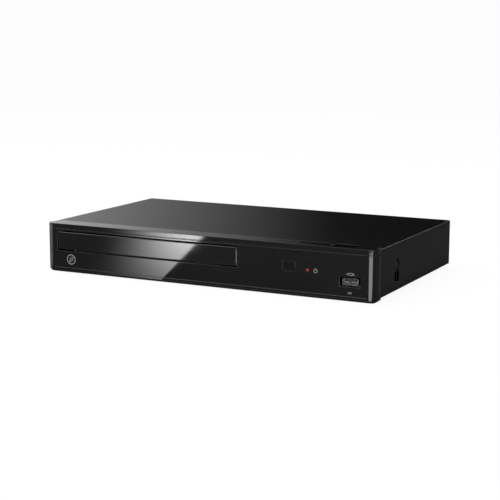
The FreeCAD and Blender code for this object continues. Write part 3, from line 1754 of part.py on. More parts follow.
def make_switches():
    """Right-angle switches on the front board, and their two plungers."""
    blocks = []
    centres = (
        ("open_close_plunger", open_left + s.open_button_width / 2),
        ("power_plunger", power_key_left + s.power_button_width / 2),
    )
    side = s.switch_width / 2
    foot = switch_top - s.plunger_sink
    bore_low = foot - s.fit_gap * 2
    radius = s.button_stem_radius
    for name, x in centres:
        low = (x - side, front_board_rear, switch_top - s.switch_width)
        block = box(low, (x + side, front_board_rear + s.switch_width, switch_top))
        bore_length = switch_top + past - bore_low
        bore = cylinder((x, switch_y, bore_low), radius + s.running_gap, bore_length)
        blocks.append(cut(block, bore))
        piece(name, cylinder((x, switch_y, foot), radius, plunger_top - foot))
    piece("tact_switches", group(*blocks))


def make_front_board():
    """Upright board behind the panel, with its light, lens and remote sensor."""
    left = sensor_x - s.front_board_left
    right = power_key_left + s.power_button_width + s.front_board_right
    low = usb_z + s.usb_height / 2 + s.plunger_rise * 2
    foot_right = light_x + s.front_board_foot
    board = fuse(
        box((left, front_board_y, low), (right, front_board_rear, switch_top)),
        box((left, front_board_y, board_top + past), (foot_right, front_board_rear, switch_top)),
    )
    through = s.board_sheet + 2 * past
    holes = [
        cylinder((x, front_board_y - past, z), s.screw_hole_radius, through, "y")
        for x, z in front_board_screws()
    ]
    piece("front_board", cut(board, *holes))

    led_y = front_board_y - s.led_sheet
    collar = s.light_radius + s.light_collar
    lens = fuse(
        cylinder((light_x, front, light_z), s.light_radius, s.panel_wall, "y"),
        cylinder((light_x, panel_inside, light_z), collar, led_y - s.fit_gap - panel_inside, "y"),
    )
    piece("led_lens", lens)
    side, rise = s.led_width / 2, s.led_height / 2
    led = box((light_x - side, led_y, light_z - rise), (light_x + side, front_board_y, light_z + rise))
    piece("status_led", led)

    side = s.sensor_width / 2 - s.sensor_gap
    rise = s.sensor_height / 2 - s.sensor_gap
    window = box(
        (sensor_x - side, front, sensor_z - rise), (sensor_x + side, panel_inside, sensor_z + rise)
    )
    piece("ir_window", window)
    side, rise = s.receiver_width / 2, s.receiver_height / 2
    eye_y = panel_inside + s.fit_gap * 2
    case_y = eye_y + past
    low = (sensor_x - side, case_y, sensor_z - rise)
    high = (sensor_x + side, front_board_y, sensor_z + rise)
    eye = cylinder((sensor_x, eye_y, sensor_z), s.receiver_eye_radius, 2 * past, "y")
    receiver = fuse(box(low, high), eye)
    piece("ir_receiver", receiver)


def make_usb():
    """Front socket, the tongues of both plug sockets and the board below."""
    left, right, near_y, far_y = usb_board_edges()
    board = box((left, near_y, board_low), (right, far_y, board_top))
    through = s.board_sheet + 2 * past
    holes = [
        cylinder((x, far_y - s.board_inset, board_low - past), s.screw_hole_radius, through)
        for x in (left + s.board_inset, right - s.board_inset)
    ]
    piece("usb_board", cut(board, *holes))

    shell = s.socket_sheet
    back_wall = shell * 5
    inner_rear = usb_mouth + s.usb_depth - back_wall
    side, rise = s.usb_width / 2, s.usb_height / 2
    outer = box(
        (usb_x - side, usb_mouth, usb_z - rise),
        (usb_x + side, usb_mouth + s.usb_depth, usb_z + rise),
    )
    inner = box(
        (usb_x - side + shell, usb_mouth - past, usb_z - rise + shell),
        (usb_x + side - shell, inner_rear, usb_z + rise - shell),
    )
    leg_half, leg_front, leg_length = 1, 6, 3
    legs = []
    for x in (usb_x - side + shell + leg_half, usb_x + side - shell - leg_half):
        y = usb_mouth + leg_front
        far = (x + leg_half, y + leg_length, usb_z - rise + shell)
        legs.append(box((x - leg_half, y, board_top), far))
    piece("usb_socket", fuse(cut(outer, inner), *legs))

    tongue_half = s.usb_width / 2 - shell * 4.5
    tongue_low, tongue_sheet = 0.2, 1.7
    usb_tongue = box(
        (usb_x - tongue_half, usb_mouth + shell * 3.5, usb_z + tongue_low),
        (usb_x + tongue_half, inner_rear, usb_z + tongue_low + tongue_sheet),
    )
    low, high = hdmi_case()
    hdmi_z = (low[2] + high[2]) / 2
    tongue_half = s.hdmi_width / 2 - hdmi_tongue_gap
    plate = hdmi_tongue_sheet / 2
    hdmi_tongue = box(
        (hdmi_x - tongue_half, low[1] + hdmi_floor, hdmi_z - plate),
        (hdmi_x + tongue_half, high[1] - hdmi_floor, hdmi_z + plate),
    )
    piece("socket_tongues", group(usb_tongue, hdmi_tongue))


# Rear sockets
hdmi_floor = 2
hdmi_tongue_gap = 2.3
hdmi_tongue_sheet = 1.2


def rear_case(side, width, depth, height):
    """Corners of a socket that stands on a board and ends flush with the back plate."""
    return (
        (side - width / 2, rear_face - depth, board_top),
        (side + width / 2, rear_face, board_top + height),
    )


def inlet_case():
    """Corners of the mains inlet."""
    return rear_case(inlet_x, s.inlet_width, s.inlet_depth, s.inlet_height)


def lan_case():
    """Corners of the network socket."""
    return rear_case(lan_x, s.lan_width, s.lan_depth, s.lan_height)


def hdmi_case():
    """Corners of the picture socket."""
    return rear_case(hdmi_x, s.hdmi_width, s.hdmi_depth, s.hdmi_height)


def make_rear_sockets():
    """Mains inlet with its pins, network socket and picture socket."""
    low, high = inlet_case()
    z = (low[2] + high[2]) / 2
    reach = s.inlet_bore_spacing / 2
    start = rear_face - s.inlet_bore_depth
    length = s.inlet_bore_depth + past
    waist = s.inlet_bore_radius - s.inlet_neck_step
    cuts = [box((inlet_x - reach, start, z - waist), (inlet_x + reach, rear_face + past, z + waist))]
    pins = []
    for x in (inlet_x - reach, inlet_x + reach):
        cuts.append(cylinder((x, start, z), s.inlet_bore_radius, length, "y"))
        pin_length = s.inlet_bore_depth - s.inlet_pin_recess
        pins.append(cylinder((x, start, z), s.inlet_pin_radius, pin_length, "y"))
    piece("ac_inlet", cut(box(low, high), *cuts))
    piece("inlet_pins", group(*pins))

    low, high = lan_case()
    wall, contacts, roof, latch_roof = 2, 2.4, 3.2, 1.4
    latch_half = 3
    start = low[1] + s.lan_floor
    end = high[1] + past
    mouth_top = high[2] - roof
    mouth = box((low[0] + wall, start, low[2] + contacts), (high[0] - wall, end, mouth_top))
    notch = box(
        (lan_x - latch_half, start, mouth_top - past / 10),
        (lan_x + latch_half, end, high[2] - latch_roof),
    )
    piece("lan_socket", cut(box(low, high), mouth, notch))

    low, high = hdmi_case()
    side, skin = 0.5, 0.7
    mouth = box(
        (low[0] + side, low[1] + hdmi_floor, low[2] + skin),
        (high[0] - side, high[1] + past, high[2] - skin),
    )
    piece("hdmi_socket", cut(box(low, high), mouth))


# Boards and what stands on them
def make_boards():
    """Main board, power board and the sheet that insulates the power board."""
    edges = (
        ("main_board", main_left, main_right, main_front),
        ("power_board", power_left, power_right, power_front),
    )
    through = s.board_sheet + 2 * past
    for name, left, right, near_y in edges:
        board = box((left, near_y, board_low), (right, boards_rear, board_top))
        holes = [
            cylinder((x, y, board_low - past), s.screw_hole_radius, through)
            for x, y in board_screws(left, right, near_y, boards_rear)
        ]
        piece(name, cut(board, *holes))
    border, side_border = 3, 1
    sheet_rear = rear_inside - s.rear_foot - past
    insulation = box(
        (power_left - border, power_front - border, floor_top),
        (power_right + side_border, sheet_rear, floor_top + s.sheet_thickness),
    )
    through = s.sheet_thickness + 2 * past
    holes = [
        cylinder((x, y, floor_top - past), s.boss_radius + s.fit_gap, through)
        for x, y in board_screws(power_left, power_right, power_front, boards_rear)
    ]
    holes += [
        cylinder((x, y, floor_top - past), s.foot_pin_radius + s.fit_gap, through)
        for x, y in foot_places()
        if x.value > 0
    ]
    piece("insulating_sheet", cut(insulation, *holes))


def make_main_parts():
    """Chips, heat sink and capacitors of the main board."""
    x = (main_left + main_right) / 2
    y = main_front + s.main_board_depth / 2
    side = s.chip_side / 2
    chip_top = board_top + s.chip_height
    processor = box((x - side, y - side, board_top), (x + side, y + side, chip_top))
    memory_width, memory_length = 9, 12
    memory_y = y - s.chip_side - s.memory_gap
    small_top = board_top + s.chip_height * 2 / 3
    memory = []
    for left in (x - side, x - side + s.memory_step):
        far = (left + memory_width, memory_y + memory_length, small_top)
        memory.append(box((left, memory_y, board_top), far))
    drive_chip_x, drive_chip_y = main_left + s.drive_chip_inset, y + s.drive_chip_back
    far = (drive_chip_x + memory_width, drive_chip_y + memory_width, small_top)
    drive_chip = box((drive_chip_x, drive_chip_y, board_top), far)
    piece("chips", group(processor, *memory, drive_chip))

    body = new_body()
    reach, fin, fins = s.sink_side / 2, s.fin_thickness, 7
    profile = sketch_on(body, "XZ_Plane", -(y + reach))
    top = chip_top + s.sink_height
    valley = chip_top + s.sink_base
    points = [(x - reach, chip_top), (x + reach, chip_top)]
    step = (s.sink_side - fin) / (fins - 1)
    for i in reversed(range(fins)):
        fin_left = x - reach + step * i
        points += [(fin_left + fin, top), (fin_left, top)]
        if i:
            points += [(fin_left, valley), (fin_left - step + fin, valley)]
    outline(profile, points)
    pad(body, profile, s.sink_side)
    piece("heat_sink", body)

    cans = []
    first = main_left + s.can_inset
    for i in range(copies(main_right - s.can_inset - first, s.small_can_step)):
        base = (first + s.small_can_step * i, main_front + s.can_inset, board_top)
        cans.append(cylinder(base, s.small_can_radius, s.small_can_height))
    piece("board_capacitors", group(*cans))


def make_power_parts():
    """Transformer, filter, heat sink and capacitors of the power board."""
    x = (power_left + power_right) / 2
    y = power_front + s.power_board_depth / 2
    core_left, core_right, core_front, core_rear, core_height = 12, 10, 10, 8, 20
    skirt, bobbin_reach = 3, 4
    core = box(
        (x - core_left, y - core_front, board_top),
        (x + core_right, y + core_rear, board_top + core_height),
    )
    bobbin = box(
        (x - core_left + skirt, y - core_front - bobbin_reach, board_top + skirt),
        (x + core_right - skirt, y + core_rear + bobbin_reach, board_top + core_height - skirt),
    )
    piece("transformer", fuse(core, bobbin))

    coil_radius, coil_bore, coil_height = 9, 3.5, 11
    coil_x = x - s.coil_side
    coil_y = boards_rear - s.coil_inset
    ring = cylinder((coil_x, coil_y, board_top), coil_radius, coil_height)
    hole = cylinder((coil_x, coil_y, board_top - past), coil_bore, coil_height + 2 * past)
    piece("line_filter", cut(ring, hole))

    sink_left, sink_length, sink_height, sink_sheet = 16, 22, 22, 2.4
    fin_reach, fin_sheet, fin_step = 4, 1.4, 6
    sink_x = x - sink_left
    sink_y = y + s.power_sink_back
    sink_right = sink_x + sink_sheet
    sink_top = board_top + sink_height
    solids = [box((sink_x, sink_y, board_top), (sink_right, sink_y + sink_length, sink_top))]
    for i in range(4):
        fin_y = sink_y + 2 + fin_step * i
        low = (sink_x - fin_reach, fin_y, board_top + fin_reach)
        solids.append(box(low, (sink_right, fin_y + fin_sheet, sink_top)))
    piece("power_heat_sink", fuse(*solids))

    base = (x + s.big_can_side, y + sink_length, board_top)
    cans = [cylinder(base, s.big_can_radius, s.big_can_height)]
    first = power_left + s.can_inset
    last = power_right - s.can_inset
    for i in range(copies(last - first, s.can_step)):
        base = (first + s.can_step * i, power_front + s.can_front, board_top)
        cans.append(cylinder(base, s.can_radius, s.can_height))
    piece("power_capacitors", group(*cans))


def strip(points, plane, start, width):
    """Makes a thin flat cable that follows a bent line seen along one axis."""
    thin = s.ribbon_thickness.value
    spots = [vector(a, b, 0) for a, b in points]
    left, right = [], []
    for i, spot in enumerate(spots):
        before = spots[max(i - 1, 0)]
        after = spots[min(i + 1, len(spots) - 1)]
        first = (spot - before) if i else (after - spot)
        second = (after - spot) if i < len(spots) - 1 else (spot - before)
        a = FreeCAD.Vector(-first.y, first.x, 0).normalize()
        b = FreeCAD.Vector(-second.y, second.x, 0).normalize()
        normal = (a + b).normalize()
        reach = thin / 2 / normal.dot(a)
        left.append(spot + normal * reach)
        right.append(spot - normal * reach)
    corners = left + right[::-1]
    start, width = as_size(start).value, as_size(width).value
    if plane == "YZ":
        corners = [FreeCAD.Vector(start, p.x, p.y) for p in corners]
        along = FreeCAD.Vector(width, 0, 0)
    else:
        corners = [FreeCAD.Vector(p.x, start, p.y) for p in corners]
        along = FreeCAD.Vector(0, width, 0)
    return from_code(Part.Face(Part.makePolygon(corners + corners[:1])).extrude(along))


def make_cables():
    """Flat cables from the front board, the power board and the drive."""
    skin = s.ribbon_thickness / 2
    width = s.ribbon_width
    end, low_rise, high_rise = 4, 4, 8
    front_y = front_board_rear + skin
    front_end = main_front + end
    front_cable = strip(
        [
            (front_y, board_top + low_rise),
            (front_y, board_top + high_rise),
            (front_end, board_top + high_rise),
            (front_end, board_top),
        ],
        "YZ",
        sensor_x - width * 6 / 7,
        width,
    )
    start, stop = main_right - end, power_left + end
    power_cable = strip(
        [
            (start, board_top),
            (start, board_top + low_rise),
            (stop, board_top + low_rise),
            (stop, board_top),
        ],
        "XZ",
        main_front + s.power_ribbon_front,
        width,
    )
    drive_right = drive_x + drive_outside
    lie = drive_floor_top + skin
    landing, over, plug_x = 14, 5, main_left + 10
    drive_cable = strip(
        [
            (drive_right - landing, lie),
            (drive_right + end, lie),
            (main_left + end, board_top + over),
            (plug_x, board_top + over),
            (plug_x, board_top),
        ],
        "XZ",
        main_front + s.drive_ribbon_front,
        s.drive_ribbon_width,
    )
    piece("flat_cables", group(front_cable, power_cable, drive_cable))


# Screws
def screw(base, axis, sign, head_height=None):
    """Adds a pan head screw whose head sits on base and whose shank runs inwards."""
    height = as_size(head_height or s.screw_head_height)
    reach = s.screw_reach
    index = "xyz".index(axis)
    head_base = list(base)
    shank_base = list(base)
    if sign < 0:
        shank_base[index] = base[index] - reach
    else:
        head_base[index] = base[index] - height
    head = cylinder(tuple(head_base), s.screw_head_radius, height, axis)
    shank = cylinder(tuple(shank_base), s.screw_radius, reach, axis)
    return fuse(head, shank)


def make_screws():
    """Screws of the cover, the boards, the drive and the traverse."""
    cover = [screw((x, cover_rear, rear_screw_z), "y", -1) for x in rear_screw_sides()]
    floor = half - s.dimple_depth
    flat_head = s.dimple_depth - s.running_gap * 2
    cover.append(screw((-floor, side_fixing_y, side_fixing_z), "x", 1, flat_head))
    cover.append(screw((floor, side_fixing_y, side_fixing_z), "x", -1, flat_head))
    cover += [screw((x, y, steel_low), "z", 1) for x, y in rear_foot_screws()]
    piece("case_screws", group(*cover))

    boards = [screw((x, y, board_top), "z", -1) for x, y in floor_screws()]
    boards += [screw((x, front_board_rear, z), "y", -1) for x, z in front_board_screws()]
    piece("board_screws", group(*boards))

    drive = [screw((x, y, drive_floor_top), "z", -1) for x, y in drive_screws()]
    piece("drive_screws", group(*drive))

    traverse = [screw((x, y, plate_top), "z", -1) for x, y in damper_places()]
    piece("traverse_screws", group(*traverse), tilted=True)


def write_pieces():
    """Checks every object and writes one file for each piece."""
    doc.recompute()
    failed = [o.Label for o in doc.Objects if {"Invalid", "Error"} & set(o.State)]
    for solid in pieces:
        if solid.Shape.isNull() or not solid.Shape.isValid():
            failed.append(solid.Label)
    if failed:
        raise ValueError("failed: " + ", ".join(sorted(set(failed))))
    os.makedirs("parts", exist_ok=True)
    for solid in pieces:
        solid.Shape.exportStep(os.path.join("parts", solid.Label + ".step"))
    print(len(pieces), "pieces written")


make_front_panel()
make_top_cover()
make_bottom_chassis()
make_rear_panel()
make_feet()
make_tray_door()
make_disc_tray()
make_gears()
make_loading_motor()
make_cam_slider()
make_drive_chassis()
make_clamp()
make_lift_frame()
make_dampers()
make_traverse_plate()
make_rods()
make_spindle()
make_pickup()
make_feed()
make_button("open_close_button", open_left, s.open_button_width)
make_button("power_button", power_key_left, s.power_button_width)
make_switches()
make_front_board()
make_usb()
make_rear_sockets()
make_boards()
make_main_parts()
make_power_parts()
make_cables()
make_screws()
write_pieces()
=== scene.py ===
import json
import math

import bmesh
import bpy
from mathutils import Matrix, Vector


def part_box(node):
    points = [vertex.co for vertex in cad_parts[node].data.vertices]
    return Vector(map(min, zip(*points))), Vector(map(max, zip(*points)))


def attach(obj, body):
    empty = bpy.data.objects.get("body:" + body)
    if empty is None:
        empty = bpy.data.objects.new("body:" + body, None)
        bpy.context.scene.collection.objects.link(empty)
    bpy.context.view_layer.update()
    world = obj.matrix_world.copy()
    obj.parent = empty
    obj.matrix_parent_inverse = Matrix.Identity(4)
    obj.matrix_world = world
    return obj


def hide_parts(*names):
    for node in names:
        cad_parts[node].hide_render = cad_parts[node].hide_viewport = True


MM = 0.001

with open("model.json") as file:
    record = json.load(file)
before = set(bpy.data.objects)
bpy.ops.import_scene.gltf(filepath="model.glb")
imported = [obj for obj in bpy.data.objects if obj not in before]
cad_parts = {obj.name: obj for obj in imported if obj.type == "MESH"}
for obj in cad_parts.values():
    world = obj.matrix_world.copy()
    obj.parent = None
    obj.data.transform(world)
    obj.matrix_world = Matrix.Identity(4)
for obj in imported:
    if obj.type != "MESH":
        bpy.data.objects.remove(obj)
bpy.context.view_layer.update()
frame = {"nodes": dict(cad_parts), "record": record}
record = frame["record"]


# Photograph's view
CAMERA_PLACE = Vector((529.07, -1054.17, 226.21)) * MM
CAMERA_TURN = math.radians(26.654)
CAMERA_TILT = math.radians(10.045)
CAMERA_ROLL = math.radians(0.146)
CAMERA_LENS = 96.56
CAMERA_SENSOR = 36
CAMERA_NEAR = 50 * MM


def new_object(name, data):
    """Adds an object to the scene."""
    thing = bpy.data.objects.new(name, data)
    bpy.context.scene.collection.objects.link(thing)
    return thing


def add_camera():
    """Puts the camera where the photograph was taken from."""
    cos_tilt = math.cos(CAMERA_TILT)
    back = Vector(
        (
            math.sin(CAMERA_TURN) * cos_tilt,
            -math.cos(CAMERA_TURN) * cos_tilt,
            math.sin(CAMERA_TILT),
        )
    )
    level = Vector((0, 0, 1)).cross(back).normalized()
    above = back.cross(level)
    right = level * math.cos(CAMERA_ROLL) + above * math.sin(CAMERA_ROLL)
    up = above * math.cos(CAMERA_ROLL) - level * math.sin(CAMERA_ROLL)
    data = bpy.data.cameras.new("camera")
    data.lens = CAMERA_LENS
    data.sensor_width = CAMERA_SENSOR
    data.clip_start = CAMERA_NEAR
    camera = new_object("camera", data)
    turn = Matrix((right, up, back)).transposed().to_4x4()
    camera.matrix_world = Matrix.Translation(CAMERA_PLACE) @ turn
    bpy.context.scene.camera = camera


# Materials
NOISE_LOW = 0.3
NOISE_HIGH = 0.7
EDGE_SAMPLES = 6
BROAD_GRAIN = 23


class Nodes:
    """A short way to add and join the nodes of one material, or of the world."""

    def __init__(self, owner):
        owner.use_nodes = True
        self.owner = owner
        self.tree = owner.node_tree
        self.shader = self.tree.nodes.get("Principled BSDF")
        self.place = self.add("ShaderNodeTexCoord").outputs["Object"]

    def add(self, kind, **inputs):
        """Adds a node; a space in an input's name is written as a low line."""
        node = self.tree.nodes.new(kind)
        for name, value in inputs.items():
            self.feed(node.inputs[name.replace("_", " ")], value)
        return node

    def feed(self, socket, value):
        """Joins a socket to another one, or gives it a plain value."""
        if isinstance(value, bpy.types.NodeSocket):
            self.tree.links.new(value, socket)
        else:
            socket.default_value = value

    def noise(self, grain, detail=3.0, stretch=(1, 1, 1)):
        """Noise whose grain is a length in metres."""
        scaled = self.add("ShaderNodeMapping", Vector=self.place, Scale=stretch)
        noise = self.add(
            "ShaderNodeTexNoise",
            Vector=scaled.outputs["Vector"],
            Scale=1 / grain,
            Detail=detail,
        )
        return noise.outputs["Fac"]

    def spread(self, noise, low, high):
        """Moves noise, most of which lies near its middle, to the range from low to high."""
        ranged = self.add("ShaderNodeMapRange", Value=noise)
        ranged.inputs["From Min"].default_value = NOISE_LOW
        ranged.inputs["From Max"].default_value = NOISE_HIGH
        ranged.inputs["To Min"].default_value = low
        ranged.inputs["To Max"].default_value = high
        return ranged.outputs["Result"]

    def mix(self, share, first, second):
        """Mixes two colours."""
        mixed = self.add("ShaderNodeMix")
        mixed.data_type = "RGBA"
        self.feed(mixed.inputs[0], share)
        self.feed(mixed.inputs[6], first)
        self.feed(mixed.inputs[7], second)
        return mixed.outputs[2]

    def calculate(self, operation, first, second):
        """Joins two values by a sum, a product, a power or a comparison."""
        node = self.add("ShaderNodeMath")
        node.operation = operation
        self.feed(node.inputs[0], first)
        self.feed(node.inputs[1], second)
        return node.outputs[0]

    def measure(self, along, start, end, smooth=False):
        """Grows from 0 to 1 between two distances along a direction."""
        split = self.add("ShaderNodeVectorMath", Vector=self.place)
        split.operation = "DOT_PRODUCT"
        split.inputs[1].default_value = along
        ranged = self.add("ShaderNodeMapRange", Value=split.outputs["Value"])
        ranged.interpolation_type = "SMOOTHSTEP" if smooth else "LINEAR"
        ranged.inputs["From Min"].default_value = start
        ranged.inputs["From Max"].default_value = end
        return ranged.outputs["Result"]

    def seen_rays(self):
        """Is 1 for rays that see a surface, also in gloss or through glass, and else 0."""
        path = self.add("ShaderNodeLightPath").outputs
        seen = self.calculate("MAXIMUM", path["Is Camera Ray"], path["Is Glossy Ray"])
        return self.calculate("MAXIMUM", seen, path["Is Transmission Ray"])

    def bump(self, height, depth, edge=0.0):
        """Bump of a depth in metres over edges rounded by a radius in metres."""
        bump = self.add("ShaderNodeBump", Height=height, Strength=1.0, Distance=depth)
        if edge:
            rounded = self.add("ShaderNodeBevel", Radius=edge)
            rounded.samples = EDGE_SAMPLES
            self.feed(bump.inputs["Normal"], rounded.outputs["Normal"])
        self.feed(self.shader.inputs["Normal"], bump.outputs["Normal"])

    def show(self, shader):
        """Makes a shader the one that the surface shows."""
        output = next(n for n in self.tree.nodes if n.type == "OUTPUT_MATERIAL")
        self.feed(output.inputs["Surface"], shader.outputs[0])


def new_material(name):
    """Nodes of a new material."""
    return Nodes(bpy.data.materials.new(name))


def shade(colour, factor):
    """Returns a colour with its alpha, made lighter or darker."""
    return tuple(min(1.0, c * factor) for c in colour) + (1.0,)


def surface(
    name,
    colour,
    rough,
    grain,
    depth,
    metal=0.0,
    vary=0.15,
    level=0.5,
    edge=0.0,
    stretch=(1, 1, 1),
):
    """A surface with a fine grain in its colour, its roughness and its relief."""
    m = new_material(name)
    fine = m.noise(grain, detail=4.0, stretch=stretch)
    broad = m.noise(grain * BROAD_GRAIN, detail=2.0, stretch=stretch)
    tone = m.spread(broad, 0.0, 1.0)
    darker = shade(colour, 1 - vary)
    lighter = shade(colour, 1 + vary)
    m.feed(m.shader.inputs["Base Color"], m.mix(tone, darker, lighter))
    m.feed(m.shader.inputs["Roughness"], m.spread(fine, rough * (1 - vary), rough * (1 + vary)))
    m.shader.inputs["Metallic"].default_value = metal
    m.shader.inputs["Specular IOR Level"].default_value = level
    m.bump(fine, depth, edge)
    return m.owner


def board_surface(name):
    """Green solder resist with copper tracks and rows of plated holes under it."""
    dark_resist = (0.012, 0.085, 0.03, 1)
    light_resist = (0.03, 0.17, 0.06, 1)
    plating = (0.6, 0.6, 0.55, 1)
    tracks_per_metre = 90
    holes_per_metre = 420
    hole_share = 0.12
    m = new_material(name)
    tracks = m.add("ShaderNodeTexBrick", Vector=m.place, Scale=tracks_per_metre)
    tracks.offset = 0.37
    tracks.squash = 0.6
    tracks.squash_frequency = 3
    tracks.inputs["Mortar Size"].default_value = 0.035
    tracks.inputs["Mortar Smooth"].default_value = 0.4
    holes = m.add(
        "ShaderNodeTexVoronoi", Vector=m.place, Scale=holes_per_metre, Randomness=0.35
    )
    dots = m.calculate("LESS_THAN", holes.outputs["Distance"], hole_share)
    resist = m.mix(tracks.outputs["Fac"], dark_resist, light_resist)
    m.feed(m.shader.inputs["Base Color"], m.mix(dots, resist, plating))
    m.feed(m.shader.inputs["Roughness"], m.spread(m.noise(0.4 * MM), low=0.28, high=0.42))
    m.bump(tracks.outputs["Fac"], depth=0.04 * MM)
    return m.owner


def light_surface(name, colour, strength):
    """Coloured clear plastic with a lit lamp behind it."""
    m = new_material(name)
    glow = m.noise(0.6 * MM, detail=1.0)
    m.feed(m.shader.inputs["Base Color"], m.mix(glow, shade(colour, 0.7), shade(colour, 1.0)))
    m.feed(m.shader.inputs["Emission Color"], m.mix(glow, shade(colour, 0.8), shade(colour, 1.0)))
    m.shader.inputs["Emission Strength"].default_value = strength
    m.shader.inputs["Roughness"].default_value = 0.15
    m.bump(glow, depth=0.01 * MM)
    return m.owner


def clear_surface(name, colour):
    """Clear moulded glass or plastic."""
    m = new_material(name)
    ripple = m.noise(2 * MM, detail=1.0)
    m.feed(m.shader.inputs["Base Color"], m.mix(ripple, shade(colour, 0.95), shade(colour, 1.0)))
    m.shader.inputs["Roughness"].default_value = 0.03
    m.shader.inputs["Transmission Weight"].default_value = 1.0
    m.shader.inputs["IOR"].default_value = 1.5
    m.bump(ripple, depth=0.005 * MM)
    return m.owner


def make_materials():
    """One material for every kind of surface on the player."""
    return {
        "cover_steel": surface(
            "cover_paint", (0.006, 0.006, 0.0062), rough=0.3, grain=0.7 * MM, depth=0.012 * MM,
            level=0.2, edge=0.5 * MM,
        ),
        "bare_steel": surface(
            "zinc_sheet", (0.56, 0.57, 0.58), rough=0.34, grain=1.2 * MM, depth=0.006 * MM, metal=1.0,
            stretch=(1, 0.12, 1),
        ),
        "rear_steel": surface(
            "rear_paint", (0.02, 0.02, 0.021), rough=0.45, grain=0.6 * MM, depth=0.01 * MM, level=0.3,
            edge=0.4 * MM,
        ),
        "front_gloss": surface(
            "front_gloss", (0.011, 0.011, 0.0115), rough=0.07, grain=4 * MM, depth=0.0012 * MM,
            edge=0.45 * MM,
        ),
        "key_black": surface(
            "key_gloss", (0.0015, 0.0015, 0.0016), rough=0.16, grain=3 * MM, depth=0.001 * MM,
            level=0.1, edge=0.3 * MM,
        ),
        "foot_rubber": surface(
            "foot_rubber", (0.02, 0.02, 0.02), rough=0.75, grain=0.8 * MM, depth=0.03 * MM, level=0.3,
        ),
        "red_lens": light_surface("red_light", (0.45, 0.03, 0.04), strength=0.25),
        "dark_window": surface(
            "smoked_window", (0.009, 0.008, 0.0085), rough=0.05, grain=3 * MM, depth=0.001 * MM,
            edge=0.2 * MM,
        ),
        "tray_black": surface(
            "tray_plastic", (0.022, 0.022, 0.023), rough=0.42, grain=0.5 * MM, depth=0.01 * MM,
            edge=0.4 * MM,
        ),
        "frame_black": surface(
            "frame_plastic", (0.035, 0.035, 0.038), rough=0.5, grain=0.6 * MM, depth=0.012 * MM,
            edge=0.4 * MM,
        ),
        "gear_white": surface(
            "natural_plastic", (0.72, 0.71, 0.66), rough=0.38, grain=0.7 * MM, depth=0.008 * MM,
            vary=0.06,
        ),
        "belt_rubber": surface(
            "belt_rubber", (0.015, 0.015, 0.015), rough=0.7, grain=0.4 * MM, depth=0.01 * MM,
        ),
        "bright_steel": surface(
            "ground_steel", (0.7, 0.71, 0.72), rough=0.12, grain=0.8 * MM, depth=0.003 * MM, metal=1.0,
            stretch=(1, 0.1, 1),
        ),
        "motor_steel": surface(
            "motor_can", (0.6, 0.6, 0.6), rough=0.25, grain=1 * MM, depth=0.004 * MM, metal=1.0,
        ),
        "pickup_metal": surface(
            "die_cast", (0.3, 0.3, 0.31), rough=0.5, grain=0.6 * MM, depth=0.02 * MM, metal=0.8,
        ),
        "lens_clear": clear_surface("lens_glass", (0.72, 0.8, 0.95)),
        "board_green": board_surface("circuit_board"),
        "chip_black": surface(
            "moulded_chip", (0.02, 0.02, 0.02), rough=0.55, grain=0.4 * MM, depth=0.01 * MM,
        ),
        "sink_aluminium": surface(
            "anodised", (0.72, 0.72, 0.74), rough=0.35, grain=1.2 * MM, depth=0.008 * MM, metal=1.0,
            stretch=(1, 0.2, 1),
        ),
        "can_sleeve": surface(
            "can_sleeve", (0.03, 0.035, 0.09), rough=0.25, grain=2 * MM, depth=0.005 * MM,
        ),
        "socket_plated": surface(
            "plated_shell", (0.5, 0.5, 0.51), rough=0.26, grain=1.2 * MM, depth=0.004 * MM, metal=1.0,
        ),
        "socket_black": surface(
            "socket_black", (0.014, 0.014, 0.014), rough=0.42, grain=0.5 * MM, depth=0.01 * MM,
        ),
        "pin_brass": surface(
            "gold_plate", (0.85, 0.62, 0.28), rough=0.2, grain=0.6 * MM, depth=0.003 * MM, metal=1.0,
        ),
        "coil_yellow": surface(
            "winding_tape", (0.62, 0.45, 0.06), rough=0.4, grain=1.2 * MM, depth=0.02 * MM,
        ),
        "sheet_black": surface(
            "pressed_film", (0.03, 0.03, 0.03), rough=0.6, grain=0.6 * MM, depth=0.01 * MM,
        ),
        "cable_white": surface(
            "ribbon", (0.68, 0.68, 0.66), rough=0.4, grain=1 * MM, depth=0.02 * MM, vary=0.08,
            stretch=(1, 0.05, 1),
        ),
        "screw_black": surface(
            "black_screw", (0.05, 0.05, 0.052), rough=0.32, grain=0.6 * MM, depth=0.004 * MM,
            metal=0.7, edge=0.2 * MM,
        ),
        "screw_zinc": surface(
            "zinc_screw", (0.65, 0.65, 0.66), rough=0.28, grain=0.8 * MM, depth=0.004 * MM, metal=1.0,
        ),
        "damper_grey": surface(
            "damper_rubber", (0.12, 0.12, 0.13), rough=0.7, grain=0.6 * MM, depth=0.02 * MM,
        ),
        "print_grey": surface(
            "printed_mark", (0.42, 0.42, 0.43), rough=0.4, grain=0.4 * MM, depth=0.002 * MM, vary=0.04,
        ),
    }


def finish_nodes(materials):
    """Gives every solid of the model the material of its slot."""
    for part in record["subparts"]:
        node = frame["nodes"][part["node"]]
        slot = "rear_steel" if part["node"] == "rear_panel" else part["material_slot"]
        node.data.materials.clear()
        node.data.materials.append(materials[slot])
        for polygon in node.data.polygons:
            polygon.material_index = 0


# Pieces and their meshes
def mesh_of(work, name):
    """Turns mesh work into a mesh with a name."""
    mesh = bpy.data.meshes.new(name)
    work.to_mesh(mesh)
    work.free()
    return mesh


def piece(name, mesh, material, body):
    """Adds a new piece that rides on a body."""
    thing = new_object(name, mesh)
    mesh.materials.append(material)
    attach(thing, body)
    return thing


def join_rings(work, rings):
    """Fills the walls between rings that have the same number of corners."""
    for lower, upper in zip(rings, rings[1:]):
        for i in range(len(lower)):
            j = (i + 1) % len(lower)
            work.faces.new((lower[i], lower[j], upper[j], upper[i]))


